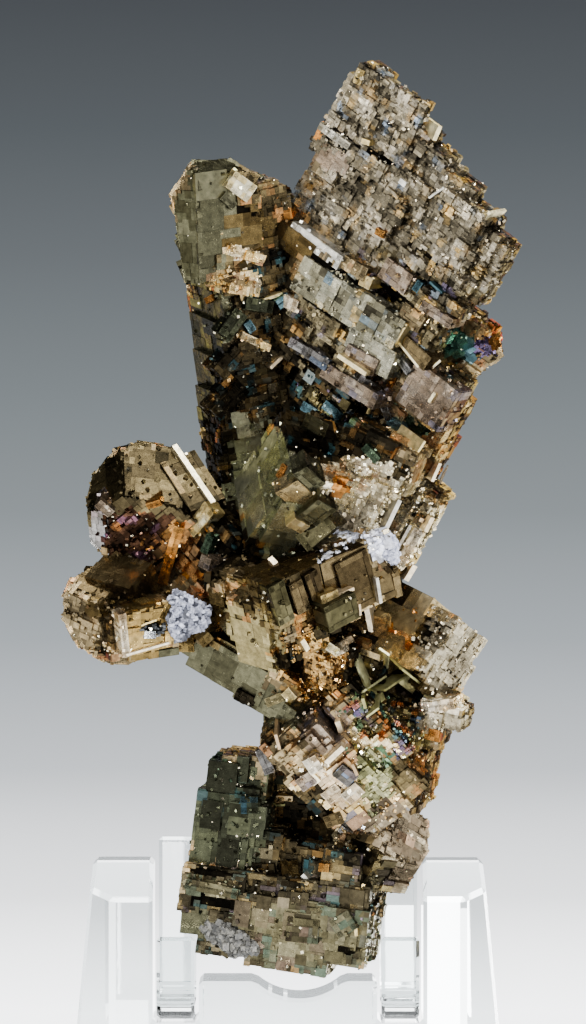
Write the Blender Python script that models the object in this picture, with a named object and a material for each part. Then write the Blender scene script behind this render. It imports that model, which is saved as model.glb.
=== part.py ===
"""Pyrite specimen held upright in a clear acrylic display stand.

The pyrite is one intergrown cluster: some twenty crystals, each with the three square-set
directions of a cube, grown into each other as stacks of flat blocks. Each crystal is written
down as a corner, the directions of its three edges as seen from the front, and a list of
blocks measured along those edges. All sizes in the tables are millimetres.
The frame has +Z up, the viewer on -Y, and its origin in the middle of the stand's underside.
"""

import math
import random

import bmesh
import bpy
from mathutils import Matrix, Vector

MM = 0.001
GAP = 0.3  # clearance that two touching pieces keep
SEED = 7

# The largest tilt, in degrees, of one block against the crystal that it belongs to
BLOCK_TILT = 0.9

# Driving sizes of the stand
STAND_FOOT_WIDTH = 37.4
STAND_TOP_WIDTH = 34.0
STAND_HEIGHT = 17.5
STAND_FRONT = -7.0
STAND_BACK = 9.4
STAND_CHAMFER = 1.7
TOWER_INNER_X = 11.75
TOWER_FRONT_HEIGHT = 14.4
TOWER_SLOPE_DEPTH = 6.0
FLOOR_THICKNESS = 3.6
WEB_HALF_WIDTH = 7.75
WEB_TOP = 7.2
CRADLE_RADIUS = 5.7
CRADLE_CENTRE = (1.0, 11.4)
HOOK_WIDTH = 3.3
HOOK_X = 9.75
HOOK_THICKNESS = 1.5
HOOK_FRONT = -9.0
HOOK_BACK = 9.4
HOOK_LIP_TOP = 11.1
HOOK_POST_TOP = 19.3
HOOK_BEND = 2.6


class Crystal:
    """One crystal: its corner, its edge directions in degrees as seen from the front, its blocks.

    A block is (a0, a1, b0, b1, c0, c1), its limits along the three edges. A step is (block, face,
    count, sizes, heights): so many low growth steps on that face of that block.
    """

    def __init__(self, name, corner, edges, blocks, steps=()):
        self.name = name
        self.corner = Vector(corner)
        self.axes = cube_axes(*edges)
        self.blocks = blocks
        self.steps = steps


class Lump:
    """A many-sided grain: a block cut by planes about its middle.

    Each plane is (angle, lean, distance): the angle of its normal in the picture plane, how far
    that normal leans towards the viewer, and how far the plane lies from the middle.
    """

    def __init__(self, name, middle, planes, back=4.0):
        self.name = name
        self.middle = Vector(middle)
        self.planes = list(planes) + [(60, -50, back), (180, -50, back), (300, -50, back)]


def cube_axes(*angles):
    """The three perpendicular edges of a cube whose projections point at these angles.

    The angles turn from +X towards +Z, and each pair is more than 90 degrees apart, so that all
    three edges come towards the viewer. The share of each edge that lies in the picture plane
    follows from their being perpendicular and equally long.
    """
    first, second, third = (math.radians(a) for a in angles)
    shares = (
        math.sin(2 * (third - second)),
        math.sin(2 * (first - third)),
        math.sin(2 * (second - first)),
    )
    whole = sum(shares)
    columns = []
    for angle, share in zip((first, second, third), shares):
        flat = math.sqrt(2 * share / whole)
        depth = math.sqrt(max(0.0, 1 - flat * flat))
        columns.append(Vector((flat * math.cos(angle), -depth, flat * math.sin(angle))))
    return Matrix(columns).transposed()


# The broad stepped blade: a runs down to the right, b up to the right
BLADE = Crystal(
    "blade",
    (7.35, -5.6, 87.3),
    (-38, 61, 191.5),
    [
        (-0.3, 18.7, -16.3, -6.2, -2.4, 0.0),
        (-1.1, 8.2, -10.1, -2.3, -2.2, 0.15),
        (-0.2, 1.9, -2.9, -0.6, -2.0, -0.3),
        (1.5, 4.9, -3.6, -1.4, -2.2, -0.1),
        (4.4, 8.0, -6.4, -2.3, -2.3, 0.1),
        (7.6, 10.8, -8.0, -3.3, -2.3, -0.25),
        (10.4, 14.2, -8.0, -4.1, -2.6, -0.1),
        (13.6, 17.2, -8.4, -5.3, -2.5, 0.2),
        (17.0, 19.5, -12.5, -6.6, -2.8, -0.5),
        (1.0, 15.0, -16.4, -8.4, -6.0, -1.8),
        (2.0, 13.0, -17.0, -8.8, -9.5, -5.0),
        (1.0, 7.1, -18.1, -16.3, -5.0, 2.2),
        (0.1, 2.7, -19.6, -15.0, -6.0, -0.6),
        (6.2, 10.4, -18.6, -15.6, -6.0, 1.2),
        (3.0, 15.5, -22.5, -18.4, -6.0, 1.4),
        (4.2, 14.8, -26.3, -21.5, -6.0, 2.0),
        (2.6, 7.4, -24.4, -20.6, -6.0, 0.7),
        (13.4, 18.4, -20.6, -15.2, -4.0, 0.6),
        (15.2, 18.0, -18.2, -13.9, -3.5, 1.2),
        (16.8, 21.6, -24.3, -19.6, -4.0, -0.4),
        (18.5, 21.6, -22.8, -19.9, -4.0, 0.3),
        (20.2, 22.0, -27.0, -21.4, -5.0, -3.0),
        (17.4, 20.4, -18.6, -14.8, -5.5, -3.0),
        (4.4, 14.2, -29.5, -25.6, -7.0, 0.3),
        (6.0, 16.8, -33.2, -28.6, -7.0, -1.2),
        (14.4, 20.0, -28.6, -22.8, -6.0, -1.5),
        (15.6, 21.0, -33.6, -27.8, -6.5, -2.8),
        (19.6, 21.6, -30.8, -26.0, -7.0, -4.2),
        (20.4, 21.2, -38.0, -31.0, -6.0, -2.6),
        (21.7, 22.4, -38.4, -31.4, -6.5, -3.4),
        (22.9, 23.6, -39.0, -32.0, -7.0, -4.2),
        (18.0, 23.0, -38.6, -31.0, -8.0, -5.0),
        (6.5, 18.6, -40.0, -27.0, -9.0, -3.6),
        (1.6, 9.0, -28.0, -14.0, -9.0, -1.0),
    ],
    [
        (0, "c", 16, (1.2, 4.2), (0.2, 0.65)),
        (1, "c", 6, (0.9, 2.8), (0.2, 0.6)),
        (14, "c", 3, (1.2, 4.0), (0.2, 0.6)),
        (15, "c", 4, (1.2, 3.6), (0.25, 0.6)),
        (19, "c", 4, (1.0, 3.0), (0.2, 0.6)),
        (23, "c", 3, (1.0, 3.0), (0.3, 0.8)),
        (24, "c", 4, (1.0, 3.2), (0.3, 0.9)),
        (25, "c", 3, (1.0, 2.6), (0.3, 0.9)),
        (32, "c", 8, (1.0, 3.0), (0.3, 1.0)),
        (0, "-c", 8, (1.6, 5.0), (0.3, 1.2)),
        (10, "-c", 7, (1.6, 4.6), (0.4, 1.4)),
        (32, "-c", 8, (1.6, 4.6), (0.4, 1.4)),
    ],
)

# The upright crystal at the upper left: a near, b up, c left
FINGER = Crystal(
    "finger",
    (-6.04, -4.4, 78.66),
    (-24, 98, 193),
    [
        (-8.8, 0.0, -8.4, -3.0, -4.9, 0.3),
        (-6.0, 0.3, -6.4, -3.6, -5.6, -1.8),
        (-5.4, -0.9, -6.9, -4.9, -6.9, -2.6),
        (-9.0, 0.35, -12.0, -7.8, -4.4, 0.7),
        (-8.4, -0.1, -15.4, -10.8, -3.9, 1.4),
        (-7.2, 0.3, -18.4, -14.6, -3.6, 1.9),
        (-6.2, -0.2, -21.6, -17.6, -3.2, 2.4),
        (-5.2, 0.2, -24.6, -20.6, -3.0, 2.9),
        (-4.2, -0.3, -27.8, -23.8, -2.7, 3.3),
        (-3.4, 0.0, -31.0, -27.0, -2.4, 3.7),
        (-3.0, -0.5, -34.0, -30.0, -2.2, 3.9),
        (-8.5, -2.8, -14.0, -4.6, -7.2, -0.1),
        (-7.4, -2.2, -24.0, -12.0, -7.8, 1.4),
        (-5.0, -1.6, -33.6, -22.0, -7.4, 2.8),
        (-3.4, -1.0, -37.0, -30.0, -5.2, 3.2),
    ],
    [
        (3, "a", 4, (0.8, 2.6), (0.25, 0.7)),
        (4, "a", 4, (0.8, 2.6), (0.25, 0.7)),
        (5, "a", 3, (0.8, 2.4), (0.25, 0.7)),
        (7, "a", 3, (0.8, 2.2), (0.25, 0.7)),
        (9, "a", 2, (0.8, 2.0), (0.25, 0.7)),
        (11, "-a", 3, (1.2, 3.4), (0.3, 0.9)),
        (12, "-a", 4, (1.2, 3.0), (0.3, 0.9)),
        (12, "a", 4, (0.8, 2.4), (0.3, 0.9)),
        (13, "a", 4, (0.8, 2.4), (0.3, 0.9)),
        (14, "a", 2, (0.8, 1.8), (0.3, 0.7)),
    ],
)

# The pale rhomb in the middle: b up to the right, c down
RHOMB = Crystal(
    "rhomb",
    (-4.46, -6.2, 50.57),
    (168, 56, 281),
    [
        (-4.6, 0.0, 0.0, 9.1, 0.0, 6.9),
        (-4.0, 0.35, 5.2, 8.3, 1.0, 4.4),
        (-4.4, -0.7, -1.2, 6.0, 2.0, 7.6),
    ],
)

# The large cube beside the rhomb
CORE_CUBE = Crystal(
    "core_cube",
    (1.66, -8.2, 52.94),
    (-25, 67, 203),
    [
        (2.4, 7.6, -4.4, 0.1, -6.0, 0.0),
        (0.0, 3.0, -5.6, 0.0, -6.0, 0.5),
        (-1.6, 1.0, -4.6, -1.2, -6.0, 0.1),
        (0.4, 4.3, -8.0, -3.6, -6.0, 0.7),
        (-1.0, 1.6, -7.4, -4.2, -6.0, -0.4),
        (4.0, 7.4, -7.4, -4.0, -6.4, -0.9),
        (2.0, 8.4, -0.4, 3.6, -7.6, -1.0),
        (-1.6, 2.6, -0.6, 2.6, -6.6, -1.6),
    ],
    [
        (0, "c", 5, (0.7, 2.2), (0.15, 0.45)),
        (5, "c", 4, (0.7, 2.0), (0.2, 0.5)),
        (6, "c", 5, (0.8, 2.4), (0.2, 0.6)),
        (7, "c", 3, (0.8, 2.0), (0.2, 0.6)),
    ],
)

# The row of small dark cubes under it: b up, c left
ROW = Crystal(
    "row",
    (7.35, -9.6, 40.16),
    (339, 102, 204),
    [
        (-3.0, 0.0, 0.0, 5.2, -0.3, 4.3),
        (-2.5, 0.9, -0.3, 2.1, 2.2, 5.4),
        (-2.8, 0.05, 3.1, 5.5, 4.75, 6.3),
        (-2.8, -0.15, 2.5, 5.4, 6.6, 7.9),
        (-2.8, 0.0, 1.6, 5.6, 8.3, 10.1),
        (-5.6, -1.0, -0.6, 5.2, -3.4, 8.9),
        (-3.4, -1.3, -2.6, 1.2, 4.6, 8.4),
    ],
    [
        (6, "a", 4, (0.7, 1.6), (0.2, 0.6)),
    ],
)

# The flat pale face left of the row
PALE_FACE = Crystal(
    "pale_face",
    (-5.07, -12.4, 40.25),
    (-16, 101, 222),
    [
        (0.0, 3.6, -6.3, 0.2, -8.0, 0.0),
        (-3.8, 0.5, -3.2, 1.0, -9.0, -2.2),
        (3.95, 4.6, -6.0, 0.6, -8.6, -0.5),
        (0.2, 4.4, -6.0, 0.4, -9.6, -1.0),
        (-2.0, 1.6, -5.6, -2.4, -8.6, -1.6),
    ],
    [
        (1, "c", 3, (0.6, 1.6), (0.2, 0.6)),
        (4, "c", 2, (0.6, 1.4), (0.2, 0.6)),
    ],
)

# The plate that juts out to the lower left
FLOOR_PLATE = Crystal(
    "floor_plate",
    (-7.96, -3.4, 34.21),
    (-30, 66, 205),
    [
        (-1.0, 7.5, 0.0, 3.0, -4.2, 0.0),
        (4.0, 8.4, -0.5, 3.4, -4.4, -0.4),
        (-1.9, 2.6, 0.6, 3.4, -4.0, -0.5),
        (6.2, 9.6, 0.2, 3.6, -4.2, 0.4),
    ],
)

# The large cube on the right, its near upright edge towards the viewer
RIGHT_CUBE = Crystal(
    "right_cube",
    (11.46, -7.0, 33.86),
    (333, 237, 141),
    [
        (-8.6, 0.0, -5.9, 0.0, -4.4, 0.0),
        (-5.0, -0.1, -3.4, -0.2, -5.3, -1.0),
        (-8.8, -3.2, -6.3, -1.2, -3.6, 0.35),
        (-5.4, 0.25, -1.4, 0.8, -3.6, -0.8),
        (-7.6, -2.2, -0.8, 2.6, -5.0, -0.9),
        (-6.4, -3.4, 0.6, 3.8, -5.6, -1.8),
    ],
    [
        (0, "a", 3, (0.8, 2.0), (0.15, 0.4)),
        (4, "c", 4, (0.8, 2.0), (0.3, 0.7)),
        (5, "c", 2, (0.6, 1.6), (0.3, 0.7)),
    ],
)

# The brown cube at the left, over the bright one
TOP_BROWN = Crystal(
    "top_brown",
    (-13.8, -8.4, 41.3),
    (-15, 108, 228),
    [
        (-4.7, 0.0, -3.7, 0.0, -3.3, 0.0),
        (-5.6, -1.4, -4.6, -1.0, -2.6, 0.5),
    ],
)

# The bright pitted cube at the left end: c left
LEFT_CUBE = Crystal(
    "left_cube",
    (-10.24, -8.4, 39.9),
    (320, 92, 191),
    [
        (-4.4, 0.0, -3.8, 0.0, 0.0, 4.5),
        (-4.4, -1.2, -5.0, -0.8, -1.0, 3.4),
        (-4.0, -1.3, -4.7, -1.6, 2.6, 5.1),
    ],
)

# Between the left arm and the middle
LEFT_BRIDGE = Crystal(
    "left_bridge",
    (-8.49, -5.2, 45.85),
    (-50, 55, 182),
    [
        (-1.6, 6.8, -4.8, 0.4, -6.0, 0.0),
        (0.4, 4.6, -1.0, 3.0, -5.6, 0.5),
        (3.4, 8.4, -3.8, 0.8, -6.0, -0.8),
        (-3.0, 1.4, -5.0, -1.4, -5.4, 0.7),
    ],
    [
        (0, "c", 4, (0.8, 2.2), (0.3, 0.8)),
        (2, "c", 3, (0.8, 2.0), (0.3, 0.8)),
    ],
)

# The heart that all the crystals grow from, mostly hidden behind them
HEART = Crystal(
    "heart",
    (0.0, 0.0, 50.0),
    (-1, 90, 225),
    [
        (-5.0, 3.0, 4.0, 20.0, -12.5, -7.6),
        (-4.6, 10.2, -6.5, 8.4, -11.0, -3.6),
        (-4.0, 9.0, -14.0, -4.5, -8.0, -1.0),
        (0.5, 10.6, -25.0, -12.0, -6.5, 0.0),
        (-1.9, 8.8, -30.0, -20.0, -4.5, 0.6),
        (-2.4, 7.4, -34.0, -27.0, -0.5, 2.4),
        (-12.0, -2.0, -11.0, -5.4, -5.0, 1.0),
        (-3.4, 2.4, 7.8, 17.2, -9.0, -4.6),
    ],
    [
        (0, "-c", 5, (1.6, 4.6), (0.5, 1.6)),
        (1, "-c", 6, (1.6, 4.6), (0.5, 1.6)),
        (2, "-c", 5, (1.6, 4.0), (0.5, 1.6)),
        (3, "-c", 5, (1.6, 4.0), (0.5, 1.6)),
        (4, "-c", 4, (1.4, 3.6), (0.5, 1.4)),
        (0, "c", 8, (0.9, 2.4), (0.3, 1.0)),
        (4, "c", 6, (0.9, 2.2), (0.3, 0.9)),
    ],
)

# Crystals that face backwards, set across the heart
BACK_HIGH = Crystal(
    "back_high",
    (3.6, 8.2, 64.0),
    (-55, 45, 180),
    [
        (-6.4, 4.4, -6.6, 4.6, -5.4, 1.0),
        (-3.4, 2.4, -4.2, 3.4, -6.8, -4.6),
        (-7.8, -2.0, -3.0, 2.8, -4.6, 0.0),
    ],
    [
        (0, "-c", 5, (1.2, 3.6), (0.4, 1.2)),
        (0, "-a", 3, (1.2, 3.0), (0.4, 1.0)),
    ],
)

BACK_MIDDLE = Crystal(
    "back_middle",
    (2.2, 6.2, 49.0),
    (-22, 80, 208),
    [
        (-5.4, 6.2, -6.6, 5.0, -5.6, 1.0),
        (-3.0, 4.0, -4.0, 3.0, -7.2, -4.8),
        (-8.4, -3.6, -4.8, 0.6, -4.2, 0.4),
    ],
    [
        (0, "-c", 6, (1.2, 3.6), (0.4, 1.2)),
        (1, "-c", 2, (1.0, 2.6), (0.3, 0.8)),
    ],
)

BACK_LOW = Crystal(
    "back_low",
    (4.6, 5.4, 30.0),
    (-62, 40, 172),
    [
        (-5.4, 4.4, -5.6, 4.2, -4.0, 1.0),
        (-3.6, 1.8, -3.4, 2.8, -5.4, -3.0),
        (2.2, 7.0, -4.2, 0.6, -3.2, 1.0),
    ],
    [
        (0, "-c", 5, (1.2, 3.2), (0.4, 1.1)),
    ],
)

# Small golden crystals between the row and the neck
GOLD_CENTRE = Crystal(
    "gold_centre",
    (3.3, -7.2, 34.6),
    (-20, 84, 214),
    [
        (-2.4, 2.4, -2.8, 2.6, -6.4, 0.0),
        (-1.4, 1.6, -1.6, 1.8, -4.0, 0.6),
        (-3.4, -0.6, -3.4, 0.4, -5.6, -0.8),
        (1.0, 4.4, -2.4, 2.0, -5.4, -1.4),
    ],
    [
        (0, "c", 7, (0.7, 1.7), (0.2, 0.8)),
        (1, "c", 4, (0.6, 1.4), (0.2, 0.6)),
        (2, "c", 3, (0.7, 1.6), (0.2, 0.7)),
    ],
)

# The coppery crystals of the lower neck: a up to the right, b up to the left, c down and near
NECK = Crystal(
    "neck",
    (4.81, -6.6, 21.44),
    (38, 134, 266),
    [
        (-0.9, 2.6, 4.6, 9.4, -6.5, 0.0),
        (0.0, 4.4, 3.4, 8.4, -6.5, 0.5),
        (2.4, 5.4, 1.8, 6.0, -6.5, 0.9),
        (-1.0, 3.4, -1.2, 5.6, -6.0, -0.4),
        (0.0, 5.4, -3.0, 1.0, -6.0, 0.0),
        (3.0, 7.2, -2.6, 3.6, -6.5, -0.5),
        (4.6, 8.4, 0.6, 5.6, -6.0, -0.9),
        (-1.7, 0.6, 0.4, 5.4, -5.0, -0.9),
        (5.0, 8.4, 4.2, 8.2, -6.0, -1.8),
    ],
    [
        (0, "c", 5, (0.7, 2.2), (0.2, 0.7)),
        (1, "c", 4, (0.7, 2.2), (0.2, 0.7)),
        (3, "c", 4, (0.8, 2.0), (0.2, 0.6)),
        (5, "c", 4, (0.8, 2.0), (0.2, 0.6)),
        (6, "c", 3, (0.8, 1.8), (0.2, 0.6)),
        (8, "c", 6, (0.7, 1.8), (0.2, 0.7)),
    ],
)

# The sparkling hollow and its ledge on the right of the neck
NECK_RIGHT = Crystal(
    "neck_right",
    (8.6, -5.2, 27.6),
    (-12, 82, 214),
    [
        (-3.2, 2.6, -1.6, 3.6, -6.5, 0.0),
        (2.2, 5.8, 2.2, 4.2, -4.6, -1.8),
        (1.2, 4.2, 0.6, 3.4, -4.6, -1.2),
        (0.2, 3.1, -5.4, -0.4, -6.0, 0.2),
        (-3.0, 0.6, -5.2, -0.6, -6.5, 0.9),
    ],
    [
        (0, "c", 7, (0.6, 1.8), (0.2, 0.7)),
        (3, "c", 3, (0.6, 1.6), (0.2, 0.5)),
    ],
)

# The big dark block that stands in the cradle
FOOT = Crystal(
    "foot",
    (-9.1, -5.2, 17.94),
    (-8, 83, 217),
    [
        (1.2, 3.6, 0.0, 8.5, -8.0, -1.0),
        (0.5, 5.2, -0.6, 5.8, -8.6, -0.8),
        (3.4, 5.7, 0.0, 6.5, -8.0, -1.2),
        (5.2, 8.0, -0.4, 2.8, -8.0, -1.5),
        (0.6, 16.4, -6.4, -0.5, -9.6, 0.4),
        (0.4, 5.8, -4.4, -0.7, -9.2, 1.1),
        (2.2, 9.0, -7.8, -5.6, -8.6, 0.5),
        (6.5, 13.6, -8.6, -6.2, -8.4, 0.2),
        (12.0, 16.8, -7.3, -4.8, -8.8, 0.3),
        (4.8, 16.8, -5.2, -2.2, -9.2, 1.2),
        (9.0, 16.2, -2.4, -0.7, -9.2, 0.7),
        (12.4, 15.4, -1.6, 2.4, -9.2, 0.2),
        (7.6, 14.6, -1.0, 1.6, -8.6, -2.8),
        (3.6, 6.6, 2.6, 5.2, -6.0, -0.35),
        (2.2, 4.4, 7.0, 9.0, -7.0, -1.8),
        (5.2, 8.4, 8.4, 10.8, -7.0, -3.0),
        (3.4, 6.0, 5.6, 9.2, -7.0, -2.6),
    ],
    [
        (4, "c", 5, (1.0, 3.2), (0.9, 1.3)),
        (1, "c", 4, (1.0, 3.0), (0.15, 0.45)),
        (9, "c", 6, (1.0, 3.4), (0.2, 0.6)),
        (8, "c", 2, (1.0, 2.4), (0.2, 0.6)),
        (4, "-c", 7, (1.6, 4.6), (0.4, 1.3)),
        (1, "-c", 4, (1.6, 4.2), (0.4, 1.3)),
        (12, "c", 4, (0.8, 2.0), (0.3, 0.9)),
    ],
)

CRYSTALS = (
    HEART,
    BACK_HIGH,
    BACK_MIDDLE,
    BACK_LOW,
    GOLD_CENTRE,
    BLADE,
    FINGER,
    RHOMB,
    CORE_CUBE,
    ROW,
    PALE_FACE,
    FLOOR_PLATE,
    RIGHT_CUBE,
    TOP_BROWN,
    LEFT_CUBE,
    LEFT_BRIDGE,
    NECK,
    NECK_RIGHT,
    FOOT,
)

# The domed crystal that tops the left arm
LEFT_HEAD = Lump(
    "left_head",
    (-12.1, -2.6, 48.1),
    [
        (82, 0, 5.6),
        (109, 0, 5.8),
        (138, 0, 5.6),
        (166, 0, 5.4),
        (187, 0, 5.2),
        (225, 0, 5.4),
        (262, 0, 6.0),
        (327, 0, 4.2),
        (300, 0, 3.9),
        (36, 0, 4.8),
        (77, 55, 4.6),
        (257, 60, 3.9),
        (36, 45, 5.3),
        (215, 45, 4.9),
        (150, 40, 5.1),
    ],
    back=4.2,
)

# The slanting tip of the upright crystal
FINGER_TIP = Lump(
    "finger_tip",
    (-7.3, -3.4, 75.25),
    [
        (188, 0, 2.6),
        (147, 0, 2.35),
        (92, 0, 3.2),
        (55, 0, 3.9),
        (5, 0, 4.6),
        (270, 0, 7.2),
        (192, 38, 2.4),
        (335, 62, 2.6),
        (70, 40, 3.7),
    ],
    back=4.2,
)

# The rough grain at the left tip
LEFT_TIP = Lump(
    "left_tip",
    (-16.45, -3.4, 39.2),
    [
        (180, 0, 2.9),
        (152, 0, 3.2),
        (120, 0, 3.6),
        (75, 0, 3.6),
        (0, 0, 5.0),
        (210, 0, 2.7),
        (240, 0, 3.2),
        (270, 0, 4.3),
        (300, 0, 5.0),
        (110, 50, 3.4),
        (200, 55, 3.0),
        (290, 50, 3.6),
        (0, 60, 3.3),
    ],
    back=3.6,
)

# The broken brown block at the lower right
LOWER_RIGHT = Lump(
    "lower_right",
    (8.6, -2.4, 18.6),
    [
        (0, 0, 3.4),
        (330, 0, 2.95),
        (48, 0, 4.0),
        (92, 0, 4.6),
        (140, 0, 4.2),
        (180, 0, 4.4),
        (228, 0, 4.0),
        (272, 0, 3.6),
        (318, 0, 3.5),
        (20, 48, 3.6),
        (100, 56, 4.1),
        (205, 52, 4.4),
        (290, 46, 3.7),
    ],
    back=4.0,
)

# The tarnished knob on the right of the blade
RIGHT_KNOB = Lump(
    "right_knob",
    (16.2, -2.0, 62.4),
    [
        (5, 0, 2.3),
        (60, 0, 2.4),
        (110, 0, 2.6),
        (180, 0, 3.0),
        (245, 0, 2.4),
        (310, 0, 2.0),
        (30, 45, 2.2),
        (150, 50, 2.3),
        (270, 48, 2.2),
    ],
    back=2.4,
)

LUMPS = (LEFT_HEAD, FINGER_TIP, LEFT_TIP, LOWER_RIGHT, RIGHT_KNOB)

# The worn pit in the front of the bright cube at the left end
PIT = Lump(
    "pit",
    (-11.8, -8.5, 38.05),
    [
        (0, 0, 1.05),
        (180, 0, 1.05),
        (90, 0, 0.62),
        (270, 0, 0.62),
        (40, 0, 0.85),
        (140, 0, 0.85),
        (220, 0, 0.85),
        (320, 0, 0.85),
        (0, -40, 0.8),
        (180, -40, 0.8),
        (90, -90, 0.75),
        (0, 90, 0.8),
    ],
    back=0.85,
)

# The three white crusts that fill hollows between the crystals
CRUSTS = (
    Lump(
        "white_crust_left",
        (-8.9, -7.8, 38.9),
        [
            (20, 0, 2.1),
            (65, 0, 1.5),
            (118, 0, 2.2),
            (160, 0, 1.6),
            (205, 0, 1.5),
            (250, 0, 2.1),
            (300, 0, 1.5),
            (340, 0, 1.9),
            (40, 50, 1.2),
            (160, 55, 1.1),
            (280, 50, 1.2),
            (0, 90, 1.2),
        ],
        back=1.5,
    ),
    Lump(
        "white_crust_middle",
        (8.0, -7.6, 44.6),
        [
            (0, 0, 1.4),
            (50, 0, 1.5),
            (95, 0, 1.7),
            (140, 0, 1.6),
            (185, 0, 1.4),
            (235, 0, 1.6),
            (275, 0, 1.8),
            (320, 0, 1.5),
            (30, 50, 1.1),
            (150, 52, 1.2),
            (270, 48, 1.1),
            (0, 90, 1.15),
        ],
        back=1.4,
    ),
    Lump(
        "white_crust_base",
        (-5.0, -6.6, 10.9),
        [
            (322, 0, 2.6),
            (142, 0, 2.6),
            (52, 0, 0.9),
            (232, 0, 0.9),
            (12, 0, 2.0),
            (100, 0, 1.5),
            (190, 0, 2.1),
            (280, 0, 1.4),
            (52, 50, 0.75),
            (232, 50, 0.8),
            (0, 90, 0.6),
        ],
        back=1.6,
    ),
)


def clear_scene():
    for obj in list(bpy.data.objects):
        bpy.data.objects.remove(obj)
    for mesh in list(bpy.data.meshes):
        bpy.data.meshes.remove(mesh)


def linear(channel):
    return channel / 12.92 if channel <= 0.04045 else ((channel + 0.055) / 1.055) ** 2.4


def material(name, colour, metallic, roughness, transmission=0.0, ior=1.5):
    made = bpy.data.materials.new(name)
    made.use_nodes = True
    shader = made.node_tree.nodes["Principled BSDF"]
    parts = [int(colour[i:i + 2], 16) / 255 for i in (1, 3, 5)]
    shader.inputs["Base Color"].default_value = [linear(c) for c in parts] + [1.0]
    shader.inputs["Metallic"].default_value = metallic
    shader.inputs["Roughness"].default_value = roughness
    shader.inputs["Transmission Weight"].default_value = transmission
    shader.inputs["IOR"].default_value = ior
    return made


def new_object(name, mesh, collection, helper=False):
    obj = bpy.data.objects.new(name, mesh)
    collection.objects.link(obj)
    if helper:
        obj.hide_render = True
        obj.display_type = "WIRE"
    return obj


def finish_mesh(name, bm):
    bmesh.ops.recalc_face_normals(bm, faces=bm.faces)
    mesh = bpy.data.meshes.new(name)
    bm.to_mesh(mesh)
    bm.free()
    return mesh


def block_mesh(name, crystal, block, tilt):
    """A closed box from the block's six limits, tilted a little about its own middle."""
    a0, a1, b0, b1, c0, c1 = block
    middle = Vector(((a0 + a1) / 2, (b0 + b1) / 2, (c0 + c1) / 2))
    size = Matrix.Diagonal((a1 - a0, b1 - b0, c1 - c0, 1))
    place = Matrix.Translation(crystal.corner + crystal.axes @ middle)
    whole = Matrix.Scale(MM, 4) @ place @ crystal.axes.to_4x4() @ tilt @ size
    bm = bmesh.new()
    bmesh.ops.create_cube(bm, size=1, matrix=whole)
    return finish_mesh(name, bm)


def cut_by_plane(bm, point, normal):
    """Take away what lies beyond a plane, and close the cut with a flat face."""
    geometry = bm.verts[:] + bm.edges[:] + bm.faces[:]
    cut = bmesh.ops.bisect_plane(
        bm, geom=geometry, plane_co=point, plane_no=normal, clear_outer=True
    )
    rim = [g for g in cut["geom_cut"] if isinstance(g, bmesh.types.BMEdge)]
    if rim:
        bmesh.ops.holes_fill(bm, edges=rim)


def lump_mesh(name, lump, grow=0.0):
    bm = bmesh.new()
    middle = lump.middle * MM
    bmesh.ops.create_cube(bm, size=24 * MM, matrix=Matrix.Translation(middle))
    for angle, lean, distance in lump.planes:
        turn, rise = math.radians(angle), math.radians(lean)
        flat = math.cos(rise)
        normal = Vector((flat * math.cos(turn), -math.sin(rise), flat * math.sin(turn)))
        cut_by_plane(bm, middle + normal * (distance + grow) * MM, normal)
    return finish_mesh(name, bm)


def small_tilt(rng, degrees):
    turn = [math.radians(rng.uniform(-degrees, degrees)) for _ in range(3)]
    return (
        Matrix.Rotation(turn[0], 4, "X")
        @ Matrix.Rotation(turn[1], 4, "Y")
        @ Matrix.Rotation(turn[2], 4, "Z")
    )


def step_blocks(rng, block, face, count, sizes, heights):
    """Low blocks that stand on one face of a larger one, as the growth steps of the crystal do."""
    axis = "abc".index(face[-1])
    outward = -1 if face.startswith("-") else 1
    level = block[2 * axis + (1 if outward > 0 else 0)]
    made = []
    for _ in range(count):
        limits = []
        for other in range(3):
            if other == axis:
                height = rng.uniform(*heights)
                low, high = sorted((level - outward * 1.2, level + outward * height))
            else:
                start, end = block[2 * other], block[2 * other + 1]
                length = min(rng.uniform(*sizes), 0.85 * (end - start))
                low = rng.uniform(start + 0.1, end - length - 0.1)
                high = low + length
            limits += [low, high]
        made.append(tuple(limits))
    return made


def crystal_blocks(rng, crystal):
    made = list(crystal.blocks)
    for index, face, count, sizes, heights in crystal.steps:
        made += step_blocks(rng, crystal.blocks[index], face, count, sizes, heights)
    return made


def boolean(obj, name, operation, collection):
    modifier = obj.modifiers.new(name, "BOOLEAN")
    modifier.operation = operation
    modifier.operand_type = "COLLECTION"
    modifier.collection = collection
    modifier.solver = "EXACT"


def connected_verts(start):
    """Every vertex that can be reached from one vertex along edges."""
    reached = {start}
    waiting = [start]
    while waiting:
        vert = waiting.pop()
        for edge in vert.link_edges:
            other = edge.other_vert(vert)
            if other not in reached:
                reached.add(other)
                waiting.append(other)
    return reached


def fill_hollows(obj):
    """Settle the modifiers and keep the outer skin, so that voids shut inside become solid."""
    depsgraph = bpy.context.evaluated_depsgraph_get()
    mesh = bpy.data.meshes.new_from_object(obj.evaluated_get(depsgraph))
    bm = bmesh.new()
    bm.from_mesh(mesh)
    topmost = max(bm.verts, key=lambda vert: vert.co.z)
    skin = connected_verts(topmost)
    inside = [vert for vert in bm.verts if vert not in skin]
    bmesh.ops.delete(bm, geom=inside, context="VERTS")
    bm.to_mesh(mesh)
    bm.free()
    obj.modifiers.clear()
    obj.data = mesh


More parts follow.
